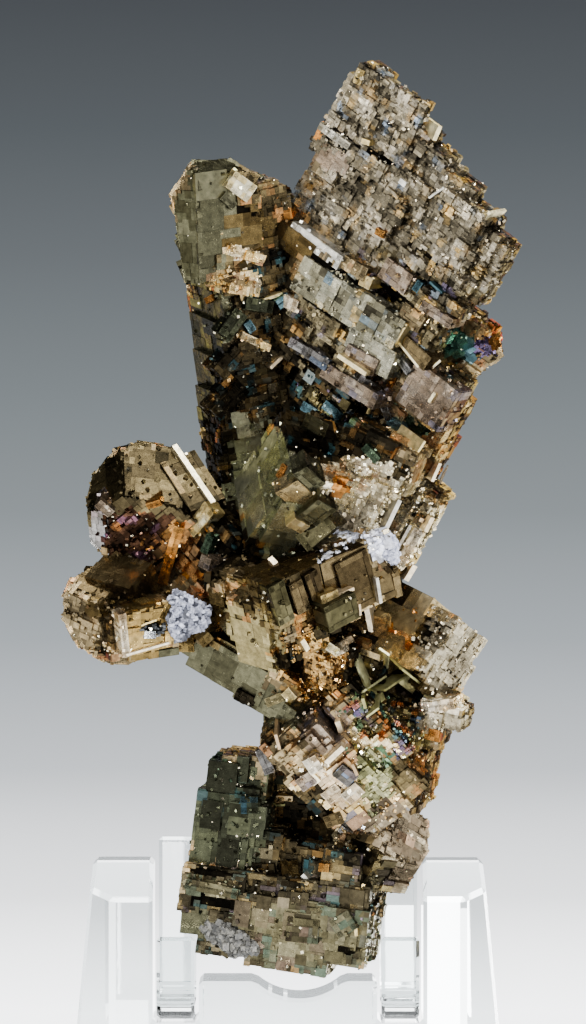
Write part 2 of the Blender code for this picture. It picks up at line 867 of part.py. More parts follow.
def pyrite_cluster(collection, blocks, pockets):
    """All blocks and grains joined into one closed solid, with pockets for the white crusts."""
    rng = random.Random(SEED)
    meshes = [lump_mesh(lump.name, lump) for lump in LUMPS]
    for crystal in CRYSTALS:
        for number, block in enumerate(crystal_blocks(rng, crystal)):
            name = f"{crystal.name}_block_{number}"
            meshes.append(block_mesh(name, crystal, block, small_tilt(rng, BLOCK_TILT)))
    cluster = new_object("pyrite_cluster", meshes[-1], collection)
    for mesh in meshes[:-1]:
        new_object(mesh.name, mesh, blocks, helper=True)
    boolean(cluster, "grown_together", "UNION", blocks)
    boolean(cluster, "crust_pockets", "DIFFERENCE", pockets)
    fill_hollows(cluster)
    cluster.data.materials.clear()
    cluster.data.materials.append(material("pyrite", "#6F6145", 0.9, 0.38))
    return cluster


def white_crusts(collection, pockets):
    white = material("white_crust", "#D6D9E4", 0.0, 0.7)
    for crust in CRUSTS:
        obj = new_object(crust.name, lump_mesh(crust.name, crust), collection)
        obj.data.materials.append(white)
        pocket = lump_mesh(crust.name + "_pocket", crust, grow=GAP)
        new_object(crust.name + "_pocket", pocket, pockets, helper=True)


def pit_cutter(pockets):
    new_object("pit", lump_mesh("pit", PIT), pockets, helper=True)


def prism(name, outline, direction, depth):
    """A flat outline in millimetres, drawn out along one direction."""
    bm = bmesh.new()
    corners = [bm.verts.new(Vector(point) * MM) for point in outline]
    face = bm.faces.new(corners)
    drawn = bmesh.ops.extrude_face_region(bm, geom=[face])
    moved = [v for v in drawn["geom"] if isinstance(v, bmesh.types.BMVert)]
    bmesh.ops.translate(bm, verts=moved, vec=Vector(direction) * depth * MM)
    return bm


def arc(centre, radius, start, end, count):
    angles = [math.radians(start + (end - start) * i / count) for i in range(count + 1)]
    return [(centre[0] + radius * math.cos(t), centre[1] + radius * math.sin(t)) for t in angles]


def base_outline():
    """The front outline: two towers, the channels that hold the hooks, and the cradle."""
    half_foot, half_top = STAND_FOOT_WIDTH / 2, STAND_TOP_WIDTH / 2
    drop = CRADLE_CENTRE[1] - WEB_TOP
    reach = math.degrees(math.asin(drop / CRADLE_RADIUS))
    cradle = arc(CRADLE_CENTRE, CRADLE_RADIUS, -reach, reach - 180, 24)
    return [
        (-half_foot, 0),
        (half_foot, 0),
        (half_top, STAND_HEIGHT),
        (TOWER_INNER_X, STAND_HEIGHT),
        (TOWER_INNER_X, FLOOR_THICKNESS),
        (WEB_HALF_WIDTH, FLOOR_THICKNESS),
        (WEB_HALF_WIDTH, WEB_TOP),
        *cradle,
        (-WEB_HALF_WIDTH, WEB_TOP),
        (-WEB_HALF_WIDTH, FLOOR_THICKNESS),
        (-TOWER_INNER_X, FLOOR_THICKNESS),
        (-TOWER_INNER_X, STAND_HEIGHT),
        (-half_top, STAND_HEIGHT),
    ]


def stand_base(collection, acrylic):
    outline = [(x, STAND_FRONT, z) for x, z in base_outline()]
    bm = prism("stand_base", outline, (0, 1, 0), STAND_BACK - STAND_FRONT)
    rise = STAND_HEIGHT - TOWER_FRONT_HEIGHT
    front_edge = Vector((0, STAND_FRONT, TOWER_FRONT_HEIGHT)) * MM
    cut_by_plane(bm, front_edge, Vector((0, -rise, TOWER_SLOPE_DEPTH)).normalized())
    for side in (-1, 1):
        corner = Vector((side * (STAND_TOP_WIDTH / 2 - STAND_CHAMFER), STAND_FRONT, 0)) * MM
        cut_by_plane(bm, corner, Vector((side, -1.2, 0)).normalized())
    obj = new_object("stand_base", finish_mesh("stand_base", bm), collection)
    obj.data.materials.append(acrylic)


def hook_outline():
    """A strip bent into a J: a tall post behind, a run under the stone, a short lip in front."""
    low = FLOOR_THICKNESS + GAP
    inner = HOOK_BEND - HOOK_THICKNESS
    front_centre = (HOOK_FRONT + HOOK_BEND, low + HOOK_BEND)
    back_centre = (HOOK_BACK - HOOK_BEND, low + HOOK_BEND)
    outer = arc(front_centre, HOOK_BEND, 180, 270, 6) + arc(back_centre, HOOK_BEND, 270, 360, 6)
    inside = arc(back_centre, inner, 360, 270, 6) + arc(front_centre, inner, 270, 180, 6)
    return [
        (HOOK_FRONT, HOOK_LIP_TOP),
        *outer,
        (HOOK_BACK, HOOK_POST_TOP),
        (HOOK_BACK - HOOK_THICKNESS, HOOK_POST_TOP),
        *inside,
        (HOOK_FRONT + HOOK_THICKNESS, HOOK_LIP_TOP),
    ]


def stand_hook(name, middle_x, collection, acrylic):
    outline = [(middle_x - HOOK_WIDTH / 2, y, z) for y, z in hook_outline()]
    bm = prism(name, outline, (1, 0, 0), HOOK_WIDTH)
    obj = new_object(name, finish_mesh(name, bm), collection)
    obj.data.materials.append(acrylic)


def main():
    clear_scene()
    specimen = bpy.data.collections.new("pyrite_specimen")
    cutters = bpy.data.collections.new("cutters")
    blocks = bpy.data.collections.new("pyrite_blocks")
    pockets = bpy.data.collections.new("crust_pockets")
    bpy.context.scene.collection.children.link(specimen)
    bpy.context.scene.collection.children.link(cutters)
    cutters.children.link(blocks)
    cutters.children.link(pockets)
    white_crusts(specimen, pockets)
    pit_cutter(pockets)
    pyrite_cluster(specimen, blocks, pockets)
    acrylic = material("clear_acrylic", "#F4F8F8", 0.0, 0.03, transmission=1.0, ior=1.49)
    stand_base(specimen, acrylic)
    stand_hook("stand_hook_left", -HOOK_X, specimen, acrylic)
    stand_hook("stand_hook_right", HOOK_X, specimen, acrylic)


main()
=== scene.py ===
# %% [markdown]
# # A pyrite specimen in a clear acrylic stand
# The specimen is one cluster of pyrite crystals, grown into each other as stepped blocks. Its
# faces are never plain: each is a mosaic of small growth steps, tarnished in patches of bronze,
# gold, silver, copper pink and black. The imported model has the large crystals. This lesson lays
# the mosaic on them, adds grains and crusts, and gives every surface its finish.

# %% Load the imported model
import math
import random

import bmesh
import bpy
import numpy as np
from mathutils import Matrix, Vector, noise
from mathutils.bvhtree import BVHTree


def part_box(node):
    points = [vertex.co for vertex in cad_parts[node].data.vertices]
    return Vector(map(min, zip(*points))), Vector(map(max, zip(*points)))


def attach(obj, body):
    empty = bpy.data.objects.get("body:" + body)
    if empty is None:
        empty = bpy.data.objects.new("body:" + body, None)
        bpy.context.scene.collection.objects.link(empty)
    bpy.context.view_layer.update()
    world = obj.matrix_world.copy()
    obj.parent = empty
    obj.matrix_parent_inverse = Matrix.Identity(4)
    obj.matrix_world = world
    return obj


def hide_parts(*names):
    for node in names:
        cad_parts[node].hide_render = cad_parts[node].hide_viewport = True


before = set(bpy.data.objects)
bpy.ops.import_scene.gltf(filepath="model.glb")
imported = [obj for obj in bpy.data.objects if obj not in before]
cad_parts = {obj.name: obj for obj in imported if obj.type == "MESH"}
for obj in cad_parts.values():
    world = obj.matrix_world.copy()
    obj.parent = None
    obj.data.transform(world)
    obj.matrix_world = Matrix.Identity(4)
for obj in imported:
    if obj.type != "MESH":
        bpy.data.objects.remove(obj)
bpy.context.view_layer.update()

MM = 0.001

# %% [markdown]
# Places on the front of the specimen were measured on the photograph, so one helper turns a
# picture point into millimetres. The specimen is about 80 mm high, which makes a pixel 0.0875 mm.

# %% Picture points as millimetres
PIXEL_MM = 0.0875
MIDLINE_PX, UNDERSIDE_PX = 288, 1060   # the stand's middle, and its underside below the picture


def spot(px, py):
    return (px - MIDLINE_PX) * PIXEL_MM, (UNDERSIDE_PX - py) * PIXEL_MM


PICTURE_MIDDLE = spot(293, 512)
print("picture middle, mm", PICTURE_MIDDLE)

# %% [markdown]
# The photograph is level and taken from some way off, so that upright lines stay upright. A long
# lens at 0.9 m does the same. The frame is 1024 pixels high, which sets the focal length.

# %% Camera
CAMERA_DISTANCE = 0.9
FRAME_HEIGHT = 1024 * PIXEL_MM * MM
SENSOR = 36                            # mm, along the longer side of the frame

camera_data = bpy.data.cameras.new("camera")
camera_data.sensor_width = SENSOR
camera_data.lens = SENSOR * CAMERA_DISTANCE / FRAME_HEIGHT
camera_data.clip_end = 20
camera = bpy.data.objects.new("camera", camera_data)
bpy.context.scene.collection.objects.link(camera)
camera.location = (PICTURE_MIDDLE[0] * MM, -CAMERA_DISTANCE, PICTURE_MIDDLE[1] * MM)
camera.rotation_euler = (math.radians(90), 0, 0)
bpy.context.scene.camera = camera
print("lens, mm", round(camera_data.lens, 1))

# %% [markdown]
# Every material below is a small node tree. One function adds a node with its settings and links,
# and another turns a hex colour, as a paint program shows it, into the linear values of a shader.

# %% Helpers for materials


def linear(hex_colour):
    parts = [int(hex_colour[i:i + 2], 16) / 255 for i in (1, 3, 5)]
    return tuple(c / 12.92 if c <= 0.04045 else ((c + 0.055) / 1.055) ** 2.4 for c in parts)


def add_node(tree, kind, settings=None, values=None, links=None):
    """Adds a node. A link is (socket of the new node, other node, socket of that node)."""
    node = tree.nodes.new(kind)
    for name, value in (settings or {}).items():
        setattr(node, name, value)
    for socket, value in (values or {}).items():
        node.inputs[socket].default_value = value
    for socket, source, output in links or []:
        tree.links.new(source.outputs[output], node.inputs[socket])
    return node


def new_material(name):
    made = bpy.data.materials.new(name)
    made.use_nodes = True
    return made, made.node_tree, made.node_tree.nodes["Principled BSDF"]


print("mid grey #808080 in linear values", round(linear("#808080")[0], 3))

# %% [markdown]
# The stage is a pale floor that sweeps up into a backdrop, like a paper roll in a studio. A plain
# sweep has one good side. Here it is a bowl turned about the upright axis, so the specimen can be
# looked at from every side, and only its outline has to be drawn.

# %% Outline of the paper
FLOOR_RADIUS = 2.1
WALL_RADIUS = 2.9
WALL_HEIGHTS = (1.5, 3.0)
FLOOR_RINGS = 32
BEND_RINGS = 24


def sweep_profile():
    """Radius and height along the paper: flat floor, a quarter turn, then the upright wall."""
    bend = WALL_RADIUS - FLOOR_RADIUS
    floor = [(FLOOR_RADIUS * (i / FLOOR_RINGS) ** 1.5, 0.0) for i in range(FLOOR_RINGS + 1)]
    turns = [math.radians(90 * i / BEND_RINGS) for i in range(1, BEND_RINGS + 1)]
    curve = [(FLOOR_RADIUS + bend * math.sin(t), bend * (1 - math.cos(t))) for t in turns]
    return floor + curve + [(WALL_RADIUS, height) for height in WALL_HEIGHTS]


paper_profile = sweep_profile()
print("rings of paper", len(paper_profile))

# %% [markdown]
# The paper is painted from nearly white below to dark grey above: painted light that falls off up
# the wall. Each ring of the bowl carries a tone, worked out from how high in the front picture it is
# seen, so the gradient lies on the paper and stays there from every side. A second value is painted
# shade on the half near the camera, as if the lamps lit only the paper behind the specimen, and
# bare metal mirrors whatever is in front of it.

# %% Turn the outline into a bowl
# painted shade: the glow falls off towards the camera, as if the lamps left that side unlit
FRONT_PAPER = 0.3      # the glow of the paper nearest the camera, where 1 is the full glow
SIDE_PAPER = 0.75      # the same for the paper at the sides
PAPER_FALLOFF = 0.6


def seen_height(radius, height):
    """How high in the front picture a point of the far side is seen: 0 at the foot, 1 on top."""
    far = CAMERA_DISTANCE + radius
    middle = PICTURE_MIDDLE[1] * MM
    return 0.5 + (height - middle) * CAMERA_DISTANCE / far / FRAME_HEIGHT


def turned_surface(name, profile, count=96):
    bm = bmesh.new()
    rings = []
    painted_light_tones = [seen_height(*profile[0])]
    for radius, height in profile[1:]:
        painted_light_tones += [seen_height(radius, height)] * count
        turns = [2 * math.pi * i / count for i in range(count)]
        ring = [bm.verts.new((radius * math.cos(t), radius * math.sin(t), height)) for t in turns]
        rings.append(ring)
    middle = bm.verts.new((0, 0, profile[0][1]))
    painted_light_tones = painted_light_tones[1:] + painted_light_tones[:1]
    for i in range(count):
        j = (i + 1) % count
        bm.faces.new((middle, rings[0][i], rings[0][j]))
        for low, high in zip(rings, rings[1:]):
            bm.faces.new((low[i], high[i], high[j], low[j]))
    mesh = bpy.data.meshes.new(name)
    bm.to_mesh(mesh)
    bm.free()
    mesh.polygons.foreach_set("use_smooth", [True] * len(mesh.polygons))
    painted_light_tone = mesh.attributes.new("painted_light_tone", "FLOAT", "POINT")
    painted_light_tone.data.foreach_set("value", np.clip(painted_light_tones, -0.2, 1.2).astype(np.float32))
    # painted shade: less glow on the half of the paper near the camera
    back = np.array([v.co.y / max(0.2, v.co.xy.length) for v in mesh.vertices])
    glow = np.clip(SIDE_PAPER + PAPER_FALLOFF * back, FRONT_PAPER, 1).astype(np.float32)
    lit = mesh.attributes.new("lit", "FLOAT", "POINT")
    lit.data.foreach_set("value", glow)
    return bpy.data.objects.new(name, mesh)


backdrop = turned_surface("backdrop", paper_profile)
bpy.context.scene.collection.objects.link(backdrop)
print("backdrop", len(backdrop.data.polygons), "faces")

# %% [markdown]
# Backdrop paper is matte and shows no texture from this far. A ramp of nine greys paints its light
# and shade from the bottom to the top of the picture, and a soft glow gives it out, standing for the
# light that falls on it.

# %% Backdrop paper
PAPER_PAINTED_LIGHT = (
    "#FAFCFE", "#A7A9AB", "#75787B", "#585C5F", "#44484A",
    "#393D3F", "#2E3133", "#232628", "#1A1C1E",
)
PAPER_GLOW = 5.0
backdrop_paper, tree, shader = new_material("backdrop_paper")
painted_light_tone = add_node(tree, "ShaderNodeAttribute", {"attribute_name": "painted_light_tone"})
ramp = add_node(tree, "ShaderNodeValToRGB", links=[("Fac", painted_light_tone, "Fac")])
ramp.color_ramp.elements[0].color = (*linear(PAPER_PAINTED_LIGHT[0]), 1)
ramp.color_ramp.elements[1].color = (*linear(PAPER_PAINTED_LIGHT[-1]), 1)
for i, shade in enumerate(PAPER_PAINTED_LIGHT[1:-1], 1):
    element = ramp.color_ramp.elements.new(i / (len(PAPER_PAINTED_LIGHT) - 1))
    element.color = (*linear(shade), 1)
lit = add_node(tree, "ShaderNodeAttribute", {"attribute_name": "lit"})
glow = add_node(
    tree, "ShaderNodeVectorMath", {"operation": "SCALE"},
    links=[(0, ramp, "Color"), ("Scale", lit, "Fac")],
)
# the paper glows with painted light and shade, so it is bright without any lamp on it
tree.links.new(glow.outputs["Vector"], shader.inputs["Emission Color"])
shader.inputs["Base Color"].default_value = (*linear("#58595B"), 1)
shader.inputs["Roughness"].default_value = 0.9
shader.inputs["Specular IOR Level"].default_value = 0.1
shader.inputs["Emission Strength"].default_value = PAPER_GLOW

backdrop.data.materials.append(backdrop_paper)
print("paper tones", len(PAPER_PAINTED_LIGHT))

# %% [markdown]
# Metal shows what it mirrors, so the lights decide how pyrite looks. Broad soft boxes above and to
# both sides give the sheen, and a few small lamps give the pinpoint sparkle of the growth steps.

# %% Lights


def soft_light(name, where, size, power, aim=(0, 0, 0.045)):
    data = bpy.data.lights.new(name, "AREA")
    data.shape = "RECTANGLE"
    data.size, data.size_y = size
    data.energy = power
    light = bpy.data.objects.new(name, data)
    light.location = where
    direction = Vector(aim) - Vector(where)
    light.rotation_euler = direction.to_track_quat("-Z", "Y").to_euler()
    light.visible_camera = False
    bpy.context.scene.collection.objects.link(light)
    return light


soft_light("box_above", (-0.08, -0.28, 0.62), (0.45, 0.35), 7.5)
soft_light("box_right", (0.62, -0.30, 0.16), (0.25, 0.5), 5.2)
soft_light("box_left", (-0.60, -0.34, 0.22), (0.22, 0.5), 2.8)
soft_light("box_behind", (0.15, 0.62, 0.45), (0.5, 0.3), 4.0)
soft_light("lamp_front_high", (0.10, -0.70, 0.36), (0.07, 0.07), 4.2)
soft_light("lamp_front_left", (-0.26, -0.66, 0.20), (0.06, 0.06), 2.6)
soft_light("lamp_front_right", (0.30, -0.62, 0.10), (0.06, 0.06), 2.6)
soft_light("strip_low_right", (0.34, 0.30, 0.05), (0.05, 0.20), 1.6, aim=(0.01, 0, 0.01))
soft_light("strip_low_left", (-0.30, 0.34, 0.05), (0.03, 0.20), 0.3, aim=(-0.01, 0, 0.01))
soft_light("lamp_low", (0.0, -0.6, 0.02), (0.12, 0.04), 0.5)

world = bpy.data.worlds.new("studio_air")
bpy.context.scene.world = world
world.use_nodes = True
sky = world.node_tree.nodes["Background"]
sky.inputs["Color"].default_value = (*linear("#9AA0A8"), 1)
sky.inputs["Strength"].default_value = 0.25

# %% [markdown]
# Clear acrylic shows only what lies behind it. Photographers set small bright cards close behind
# it. Here each card is a small area light that the camera doesn't see directly, only through the
# acrylic or mirrored in it. It is given by the picture rectangle that it fills and by how bright
# it looks.

# %% Cards behind the stand
CARD_BEHIND = 30.0


def card(name, left, top, right, bottom, brightness):
    reach = 1 + CARD_BEHIND * MM / CAMERA_DISTANCE
    (x0, z1), (x1, z0) = spot(left, top), spot(right, bottom)
    width, height = (x1 - x0) * reach * MM, (z1 - z0) * reach * MM
    x = PICTURE_MIDDLE[0] + ((x0 + x1) / 2 - PICTURE_MIDDLE[0]) * reach
    z = PICTURE_MIDDLE[1] + ((z0 + z1) / 2 - PICTURE_MIDDLE[1]) * reach
    where = (x * MM, CARD_BEHIND * MM, z * MM)
    power = brightness * math.pi * width * height
    soft_light(name, where, (width, height), power, aim=(where[0], -1, where[2]))


card("card_right_tower", 421, 866, 492, 1024, 26.0)
card("card_right_inner", 385, 905, 416, 1024, 6.5)
card("card_left_line", 119, 872, 122, 990, 3.2)
card("card_left_strip", 158, 842, 184, 1024, 2.5)
card("card_left_foot", 74, 996, 150, 1024, 2.3)

# %% [markdown]
# Pyrite is iron sulphide, a brassy mineral that looks like metal. Its own faces are mirror bright,
# and tarnish dulls them to bronze, grey or black and leaves thin films in rainbow colours. An image
# could carry that, but here every block of the mosaic will carry its own tarnish colour and its own
# polish, so one material serves them all, and fine noise mottles the colour inside each block.

# %% Colour of tarnished pyrite
MOTTLE_MM = 0.6        # clouds of tarnish
SHADE_FROM, SHADE_TO = 0.55, 1.25


def tarnish_colour(tree, shader, where):
    colour = add_node(tree, "ShaderNodeAttribute", {"attribute_name": "tarnish"})
    mottle = add_node(
        tree, "ShaderNodeTexNoise",
        values={"Scale": 1 / (MOTTLE_MM * MM), "Detail": 3.0, "Roughness": 0.6},
        links=[("Vector", where, "Position")],
    )
    shade = add_node(
        tree, "ShaderNodeMapRange",
        values={"From Min": 0.3, "From Max": 0.7, "To Min": SHADE_FROM, "To Max": SHADE_TO},
        links=[("Value", mottle, "Fac")],
    )
    tinted = add_node(
        tree, "ShaderNodeVectorMath", {"operation": "SCALE"},
        links=[(0, colour, "Color"), ("Scale", shade, "Result")],
    )
    tree.links.new(tinted.outputs["Vector"], shader.inputs["Base Color"])


pyrite, tree, shader = new_material("tarnished_pyrite")
where = add_node(tree, "ShaderNodeNewGeometry")
tarnish_colour(tree, shader, where)
shader.inputs["Metallic"].default_value = 0.93
# Seen along its surface a tarnished metal stays dim, where a bare one would turn white
shader.inputs["Specular Tint"].default_value = (*linear("#86806C"), 1)
print("mottling, mm", MOTTLE_MM)

# %% [markdown]
# Inside a block the real face still has growth steps far below a millimetre, and an etched grain
# below those. They are too fine for the mesh, so they are bump: square cells at random levels for
# the steps, and noise for the grain. Both are drawn as coarse as the render needs to show them. The
# grain also roughens the gloss, so a highlight breaks up into glints.

# %% Growth steps and grain of tarnished pyrite
STEP_MM = 0.32
STEP_HEIGHT_MM = 0.03
GRAIN_MM = 0.11
GRAIN_HEIGHT_MM = 0.012
GRAIN_ROUGHNESS = 0.3  # how far the grain moves the roughness, half of it each way


def etched_grain(tree, shader, where):
    grain = add_node(
        tree, "ShaderNodeTexNoise",
        values={"Scale": 1 / (GRAIN_MM * MM), "Detail": 2.0, "Roughness": 0.55},
        links=[("Vector", where, "Position")],
    )
    polish = add_node(tree, "ShaderNodeAttribute", {"attribute_name": "polish"})
    change = add_node(
        tree, "ShaderNodeMath", {"operation": "MULTIPLY_ADD"},
        values={1: GRAIN_ROUGHNESS, 2: -GRAIN_ROUGHNESS / 2},
        links=[(0, grain, "Fac")],
    )
    rough = add_node(
        tree, "ShaderNodeMath", {"operation": "ADD", "use_clamp": True},
        links=[(0, polish, "Fac"), (1, change, "Value")],
    )
    tree.links.new(rough.outputs["Value"], shader.inputs["Roughness"])
    return grain


def growth_steps(tree, where):
    turned = add_node(
        tree, "ShaderNodeMapping", {"vector_type": "POINT"},
        values={"Rotation": (0.3, math.radians(36), 0.4), "Scale": (0.55, 1.0, 1.0)},
        links=[("Vector", where, "Position")],
    )
    steps = add_node(
        tree, "ShaderNodeTexVoronoi", {"distance": "CHEBYCHEV"},
        values={"Scale": 1 / (STEP_MM * MM), "Randomness": 0.9},
        links=[("Vector", turned, "Vector")],
    )
    tread = add_node(tree, "ShaderNodeSeparateColor", links=[("Color", steps, "Color")])
    return add_node(
        tree, "ShaderNodeBump", values={"Strength": 0.45, "Distance": STEP_HEIGHT_MM * MM},
        links=[("Height", tread, "Red")],
    )


bump = add_node(
    tree, "ShaderNodeBump", values={"Strength": 0.5, "Distance": GRAIN_HEIGHT_MM * MM},
    links=[
        ("Height", etched_grain(tree, shader, where), "Fac"),
        ("Normal", growth_steps(tree, where), "Normal"),
    ],
)
tree.links.new(bump.outputs["Normal"], shader.inputs["Normal"])
print("growth steps, mm", STEP_MM, "grain, mm", GRAIN_MM)

# %% [markdown]
# The look changes over the specimen: fine silver mosaic on the blade, coppery grains on the neck,
# near black in the middle, which is black tarnish and painted shade in the hollows. A style says how
# large the cells of the mosaic are, how far they stand apart in height, how many loose grains grow
# on them, and which tarnish colours they take. The near-black grooves between steps, a painted
# shadow, and the frost round the white crusts are styles too.

# %% Styles of surface


class Style:
    def __init__(self, cell, relief, tilt, grains, polish, ground, films=()):
        self.cell = cell        # mean side of a cell, mm
        self.relief = relief    # height of the larger steps, mm
        self.tilt = tilt        # degrees
        self.grains = grains    # loose grains per square mm
        self.polish = polish    # lowest and highest roughness
        self.ground = [np.array(linear(c)) for c in ground]       # dark, middle, light
        self.films = [(np.array(linear(c)), share) for c, share in films]


STYLES = {
    # painted shadow: near-black flat cells under the steps
    "painted_shadow_groove": Style(0.5, 0.0, 1.0, 0.0, (0.45, 0.6), ("#050403", "#0B0906", "#15110B")),
    # dark tarnish, also laid as painted shade in the hollows
    "black_tarnish_and_shade": Style(0.6, 0.5, 4.0, 1.6, (0.2, 0.45), ("#0C0A07", "#241F15", "#493E28"),
                   [("#8A6A3C", 0.12), ("#28464A", 0.08)]),
    "blue": Style(0.9, 0.06, 0.6, 0.3, (0.16, 0.28), ("#33484C", "#587880", "#8FA8AA")),
    "lilac": Style(1.0, 0.08, 0.8, 0.8, (0.18, 0.3), ("#545048", "#7E7A76", "#9C9A96"),
                   [("#74849A", 0.12), ("#948484", 0.16)]),
    "rose": Style(0.8, 0.1, 1.0, 0.8, (0.18, 0.34), ("#5C4E3E", "#8C7A66", "#B0A08C"),
                  [("#86808A", 0.14)]),
    # painted highlight: pale strips on edges that catch the light
    "highlight_yellow": Style(1.2, 0.04, 0.8, 0.3, (0.26, 0.4), ("#C8AC6C", "#EAD498", "#FBF2D0")),
    # painted highlight: pale cream ledges
    "highlight_cream": Style(0.7, 0.15, 3.0, 1.5, (0.22, 0.38), ("#B09470", "#DCC6A0", "#F2E6CC")),
    "orange_film": Style(0.8, 0.1, 1.0, 0.6, (0.16, 0.28), ("#5A3A1A", "#A06A30", "#C89450")),
    "tan": Style(2.2, 0.05, 0.4, 0.3, (0.22, 0.32), ("#352B1B", "#574728", "#75633E")),
    "umber": Style(2.6, 0.05, 0.4, 0.35, (0.2, 0.3), ("#352B1C", "#594B31", "#796848")),
    "green_film": Style(0.8, 0.1, 1.0, 0.8, (0.18, 0.3), ("#262E22", "#3E4E3C", "#66785E")),
    "mint": Style(0.4, 0.3, 5.0, 5.0, (0.12, 0.26), ("#3E3E28", "#7C7A54", "#C4C096"),
                  [("#6A8E72", 0.1), ("#C8B478", 0.2)]),
    # painted highlight: thin pale green lines along edges
    "highlight_edge_green": Style(1.0, 0.03, 0.5, 0.0, (0.15, 0.25), ("#8E8A58", "#ACA874", "#C8C494")),
    "sand": Style(0.35, 0.28, 5.0, 4.0, (0.14, 0.34), ("#8C8066", "#C8BB9A", "#F0E6CA"),
                  [("#B08048", 0.12)]),
    "olive_smooth": Style(2.4, 0.05, 0.4, 0.5, (0.22, 0.34), ("#34301E", "#565137", "#756E4F")),
    "foot_dark": Style(2.0, 0.08, 0.6, 2.0, (0.24, 0.4), ("#1F1F17", "#393B2D", "#555740"),
                       [("#2C3E3A", 0.1)]),
    "pastel": Style(1.5, 0.14, 0.8, 1.2, (0.22, 0.4), ("#353023", "#5A543C", "#777157"),
                    [("#526050", 0.25), ("#6C5A4C", 0.25)]),
    "brown_rock": Style(1.6, 0.16, 1.5, 1.8, (0.22, 0.4), ("#3A3126", "#766853", "#A4977D"),
                        [("#8A6A50", 0.14)]),
    "head": Style(2.8, 0.05, 0.5, 0.9, (0.18, 0.3), ("#1E1A10", "#3A3221", "#5E5338"),
                  [("#7E6A48", 0.1)]),
    "maroon": Style(0.36, 0.3, 4.0, 6.0, (0.14, 0.34), ("#0E0906", "#281910", "#4E3626"),
                    [("#6A4A5A", 0.1), ("#8A5A30", 0.12)]),
    "pit_grey": Style(0.3, 0.4, 6.0, 6.0, (0.14, 0.34), ("#1C1E20", "#4C4E50", "#A8A8A2")),
    "olive_pale": Style(2.6, 0.05, 0.4, 0.25, (0.22, 0.34), ("#60614E", "#7F8066", "#9C9B80")),
    "teal_bright": Style(0.7, 0.12, 2.0, 1.5, (0.16, 0.3), ("#2C4038", "#587C6C", "#90B09C")),
    "violet": Style(0.7, 0.12, 2.0, 1.5, (0.16, 0.3), ("#463A50", "#74648A", "#A090B0")),
    "blade_plate": Style(0.8, 0.14, 1.2, 2.2, (0.18, 0.34), ("#3C382C", "#77725C", "#A6A28C"),
                         [("#6A7C84", 0.1), ("#B09660", 0.08)]),
    "blade_light": Style(0.5, 0.15, 2.0, 1.0, (0.2, 0.36), ("#6E6654", "#A09884", "#C8C2B0")),
    "bronze": Style(0.5, 0.4, 2.5, 1.5, (0.2, 0.42), ("#443A28", "#7E6F52", "#AC966E"),
                    [("#B8905A", 0.2), ("#8A5E3C", 0.15)]),
    "blade": Style(0.3, 0.34, 3.0, 2.2, (0.18, 0.42), ("#353026", "#736A56", "#A29884"),
                   [("#8A7048", 0.14), ("#74808C", 0.08), ("#B99A62", 0.08)]),
    "blade_low": Style(0.36, 0.4, 3.0, 1.8, (0.18, 0.38), ("#2A2418", "#665C44", "#918668"),
                       [("#58707A", 0.1), ("#74687E", 0.06), ("#C09A52", 0.14)]),
    # painted highlight: pale bright bars on lit faces
    "highlight_silver": Style(1.4, 0.04, 0.5, 0.4, (0.24, 0.38), ("#B8B2A2", "#D8D3C4", "#F0ECE0")),
    "green_grey": Style(2.6, 0.05, 0.4, 0.25, (0.24, 0.36), ("#403D2C", "#575540", "#6E6B53")),
    "olive": Style(0.6, 0.3, 2.5, 1.6, (0.2, 0.4), ("#231E12", "#4F442E", "#776846"),
                   [("#A87848", 0.2)]),
    "dark": Style(0.7, 0.45, 2.5, 1.4, (0.22, 0.42), ("#100E09", "#221D14", "#443A26"),
                  [("#7E5C30", 0.14), ("#28454A", 0.1)]),
    "gold": Style(1.6, 0.06, 0.5, 0.6, (0.16, 0.28), ("#5E4C2A", "#8A7242", "#AC925C")),
    "pale_plate": Style(3.0, 0.03, 0.3, 0.4, (0.2, 0.3), ("#665B3D", "#7C714F", "#958964")),
    "copper_pink": Style(0.62, 0.5, 3.0, 5.0, (0.16, 0.34), ("#7E6448", "#CCAE78", "#F6E4BA"),
                         [("#BE8E68", 0.2), ("#C9AE6E", 0.2)]),
    "gold_grains": Style(0.34, 0.45, 5.0, 9.0, (0.12, 0.3), ("#3A2C1A", "#8C6C3E", "#DDB46E"),
                         [("#8A5426", 0.2)]),
    "iridescent": Style(0.32, 0.35, 5.0, 8.0, (0.12, 0.28), ("#201D12", "#52492E", "#988A58"),
                        [("#3A5C60", 0.25), ("#364A60", 0.18), ("#5E4A6C", 0.14),
                         ("#A8642C", 0.22), ("#4E7454", 0.2)]),
    "frost": Style(0.4, 0.25, 5.0, 8.0, (0.5, 0.7), ("#B4B6C2", "#E0E2EC", "#FCFCFF")),
    "orange": Style(0.55, 0.3, 3.0, 1.6, (0.2, 0.35), ("#4A3824", "#8A6238", "#B48448"),
                    [("#C27A26", 0.2)]),
    "right_dark": Style(2.6, 0.05, 0.4, 0.5, (0.2, 0.34), ("#8E7D5A", "#B39E71", "#D1BB8D"),
                        [("#9C6426", 0.04)]),
    "pale_grainy": Style(0.4, 0.2, 3.5, 4.0, (0.25, 0.45), ("#615848", "#8B816A", "#AEA48B")),
    "teal_dark": Style(1.2, 0.1, 1.0, 2.0, (0.22, 0.4), ("#1E1D14", "#2C2E22", "#424636"),
                       [("#2C4846", 0.14), ("#34525E", 0.1)]),
    "foot": Style(0.8, 0.3, 2.0, 1.6, (0.22, 0.42), ("#191610", "#373123", "#574F3B"),
                  [("#5A4E56", 0.12), ("#36504E", 0.12), ("#8E7A50", 0.12)]),
}
print("styles", len(STYLES))

# %% [markdown]
# Each zone lays one style on a part of the specimen. A zone is an oval in the front view, with its
# middle, its two half widths and its turn. Later zones lie over earlier ones, and a little noise
# frays their edges, because tarnish never ends in a clean line.

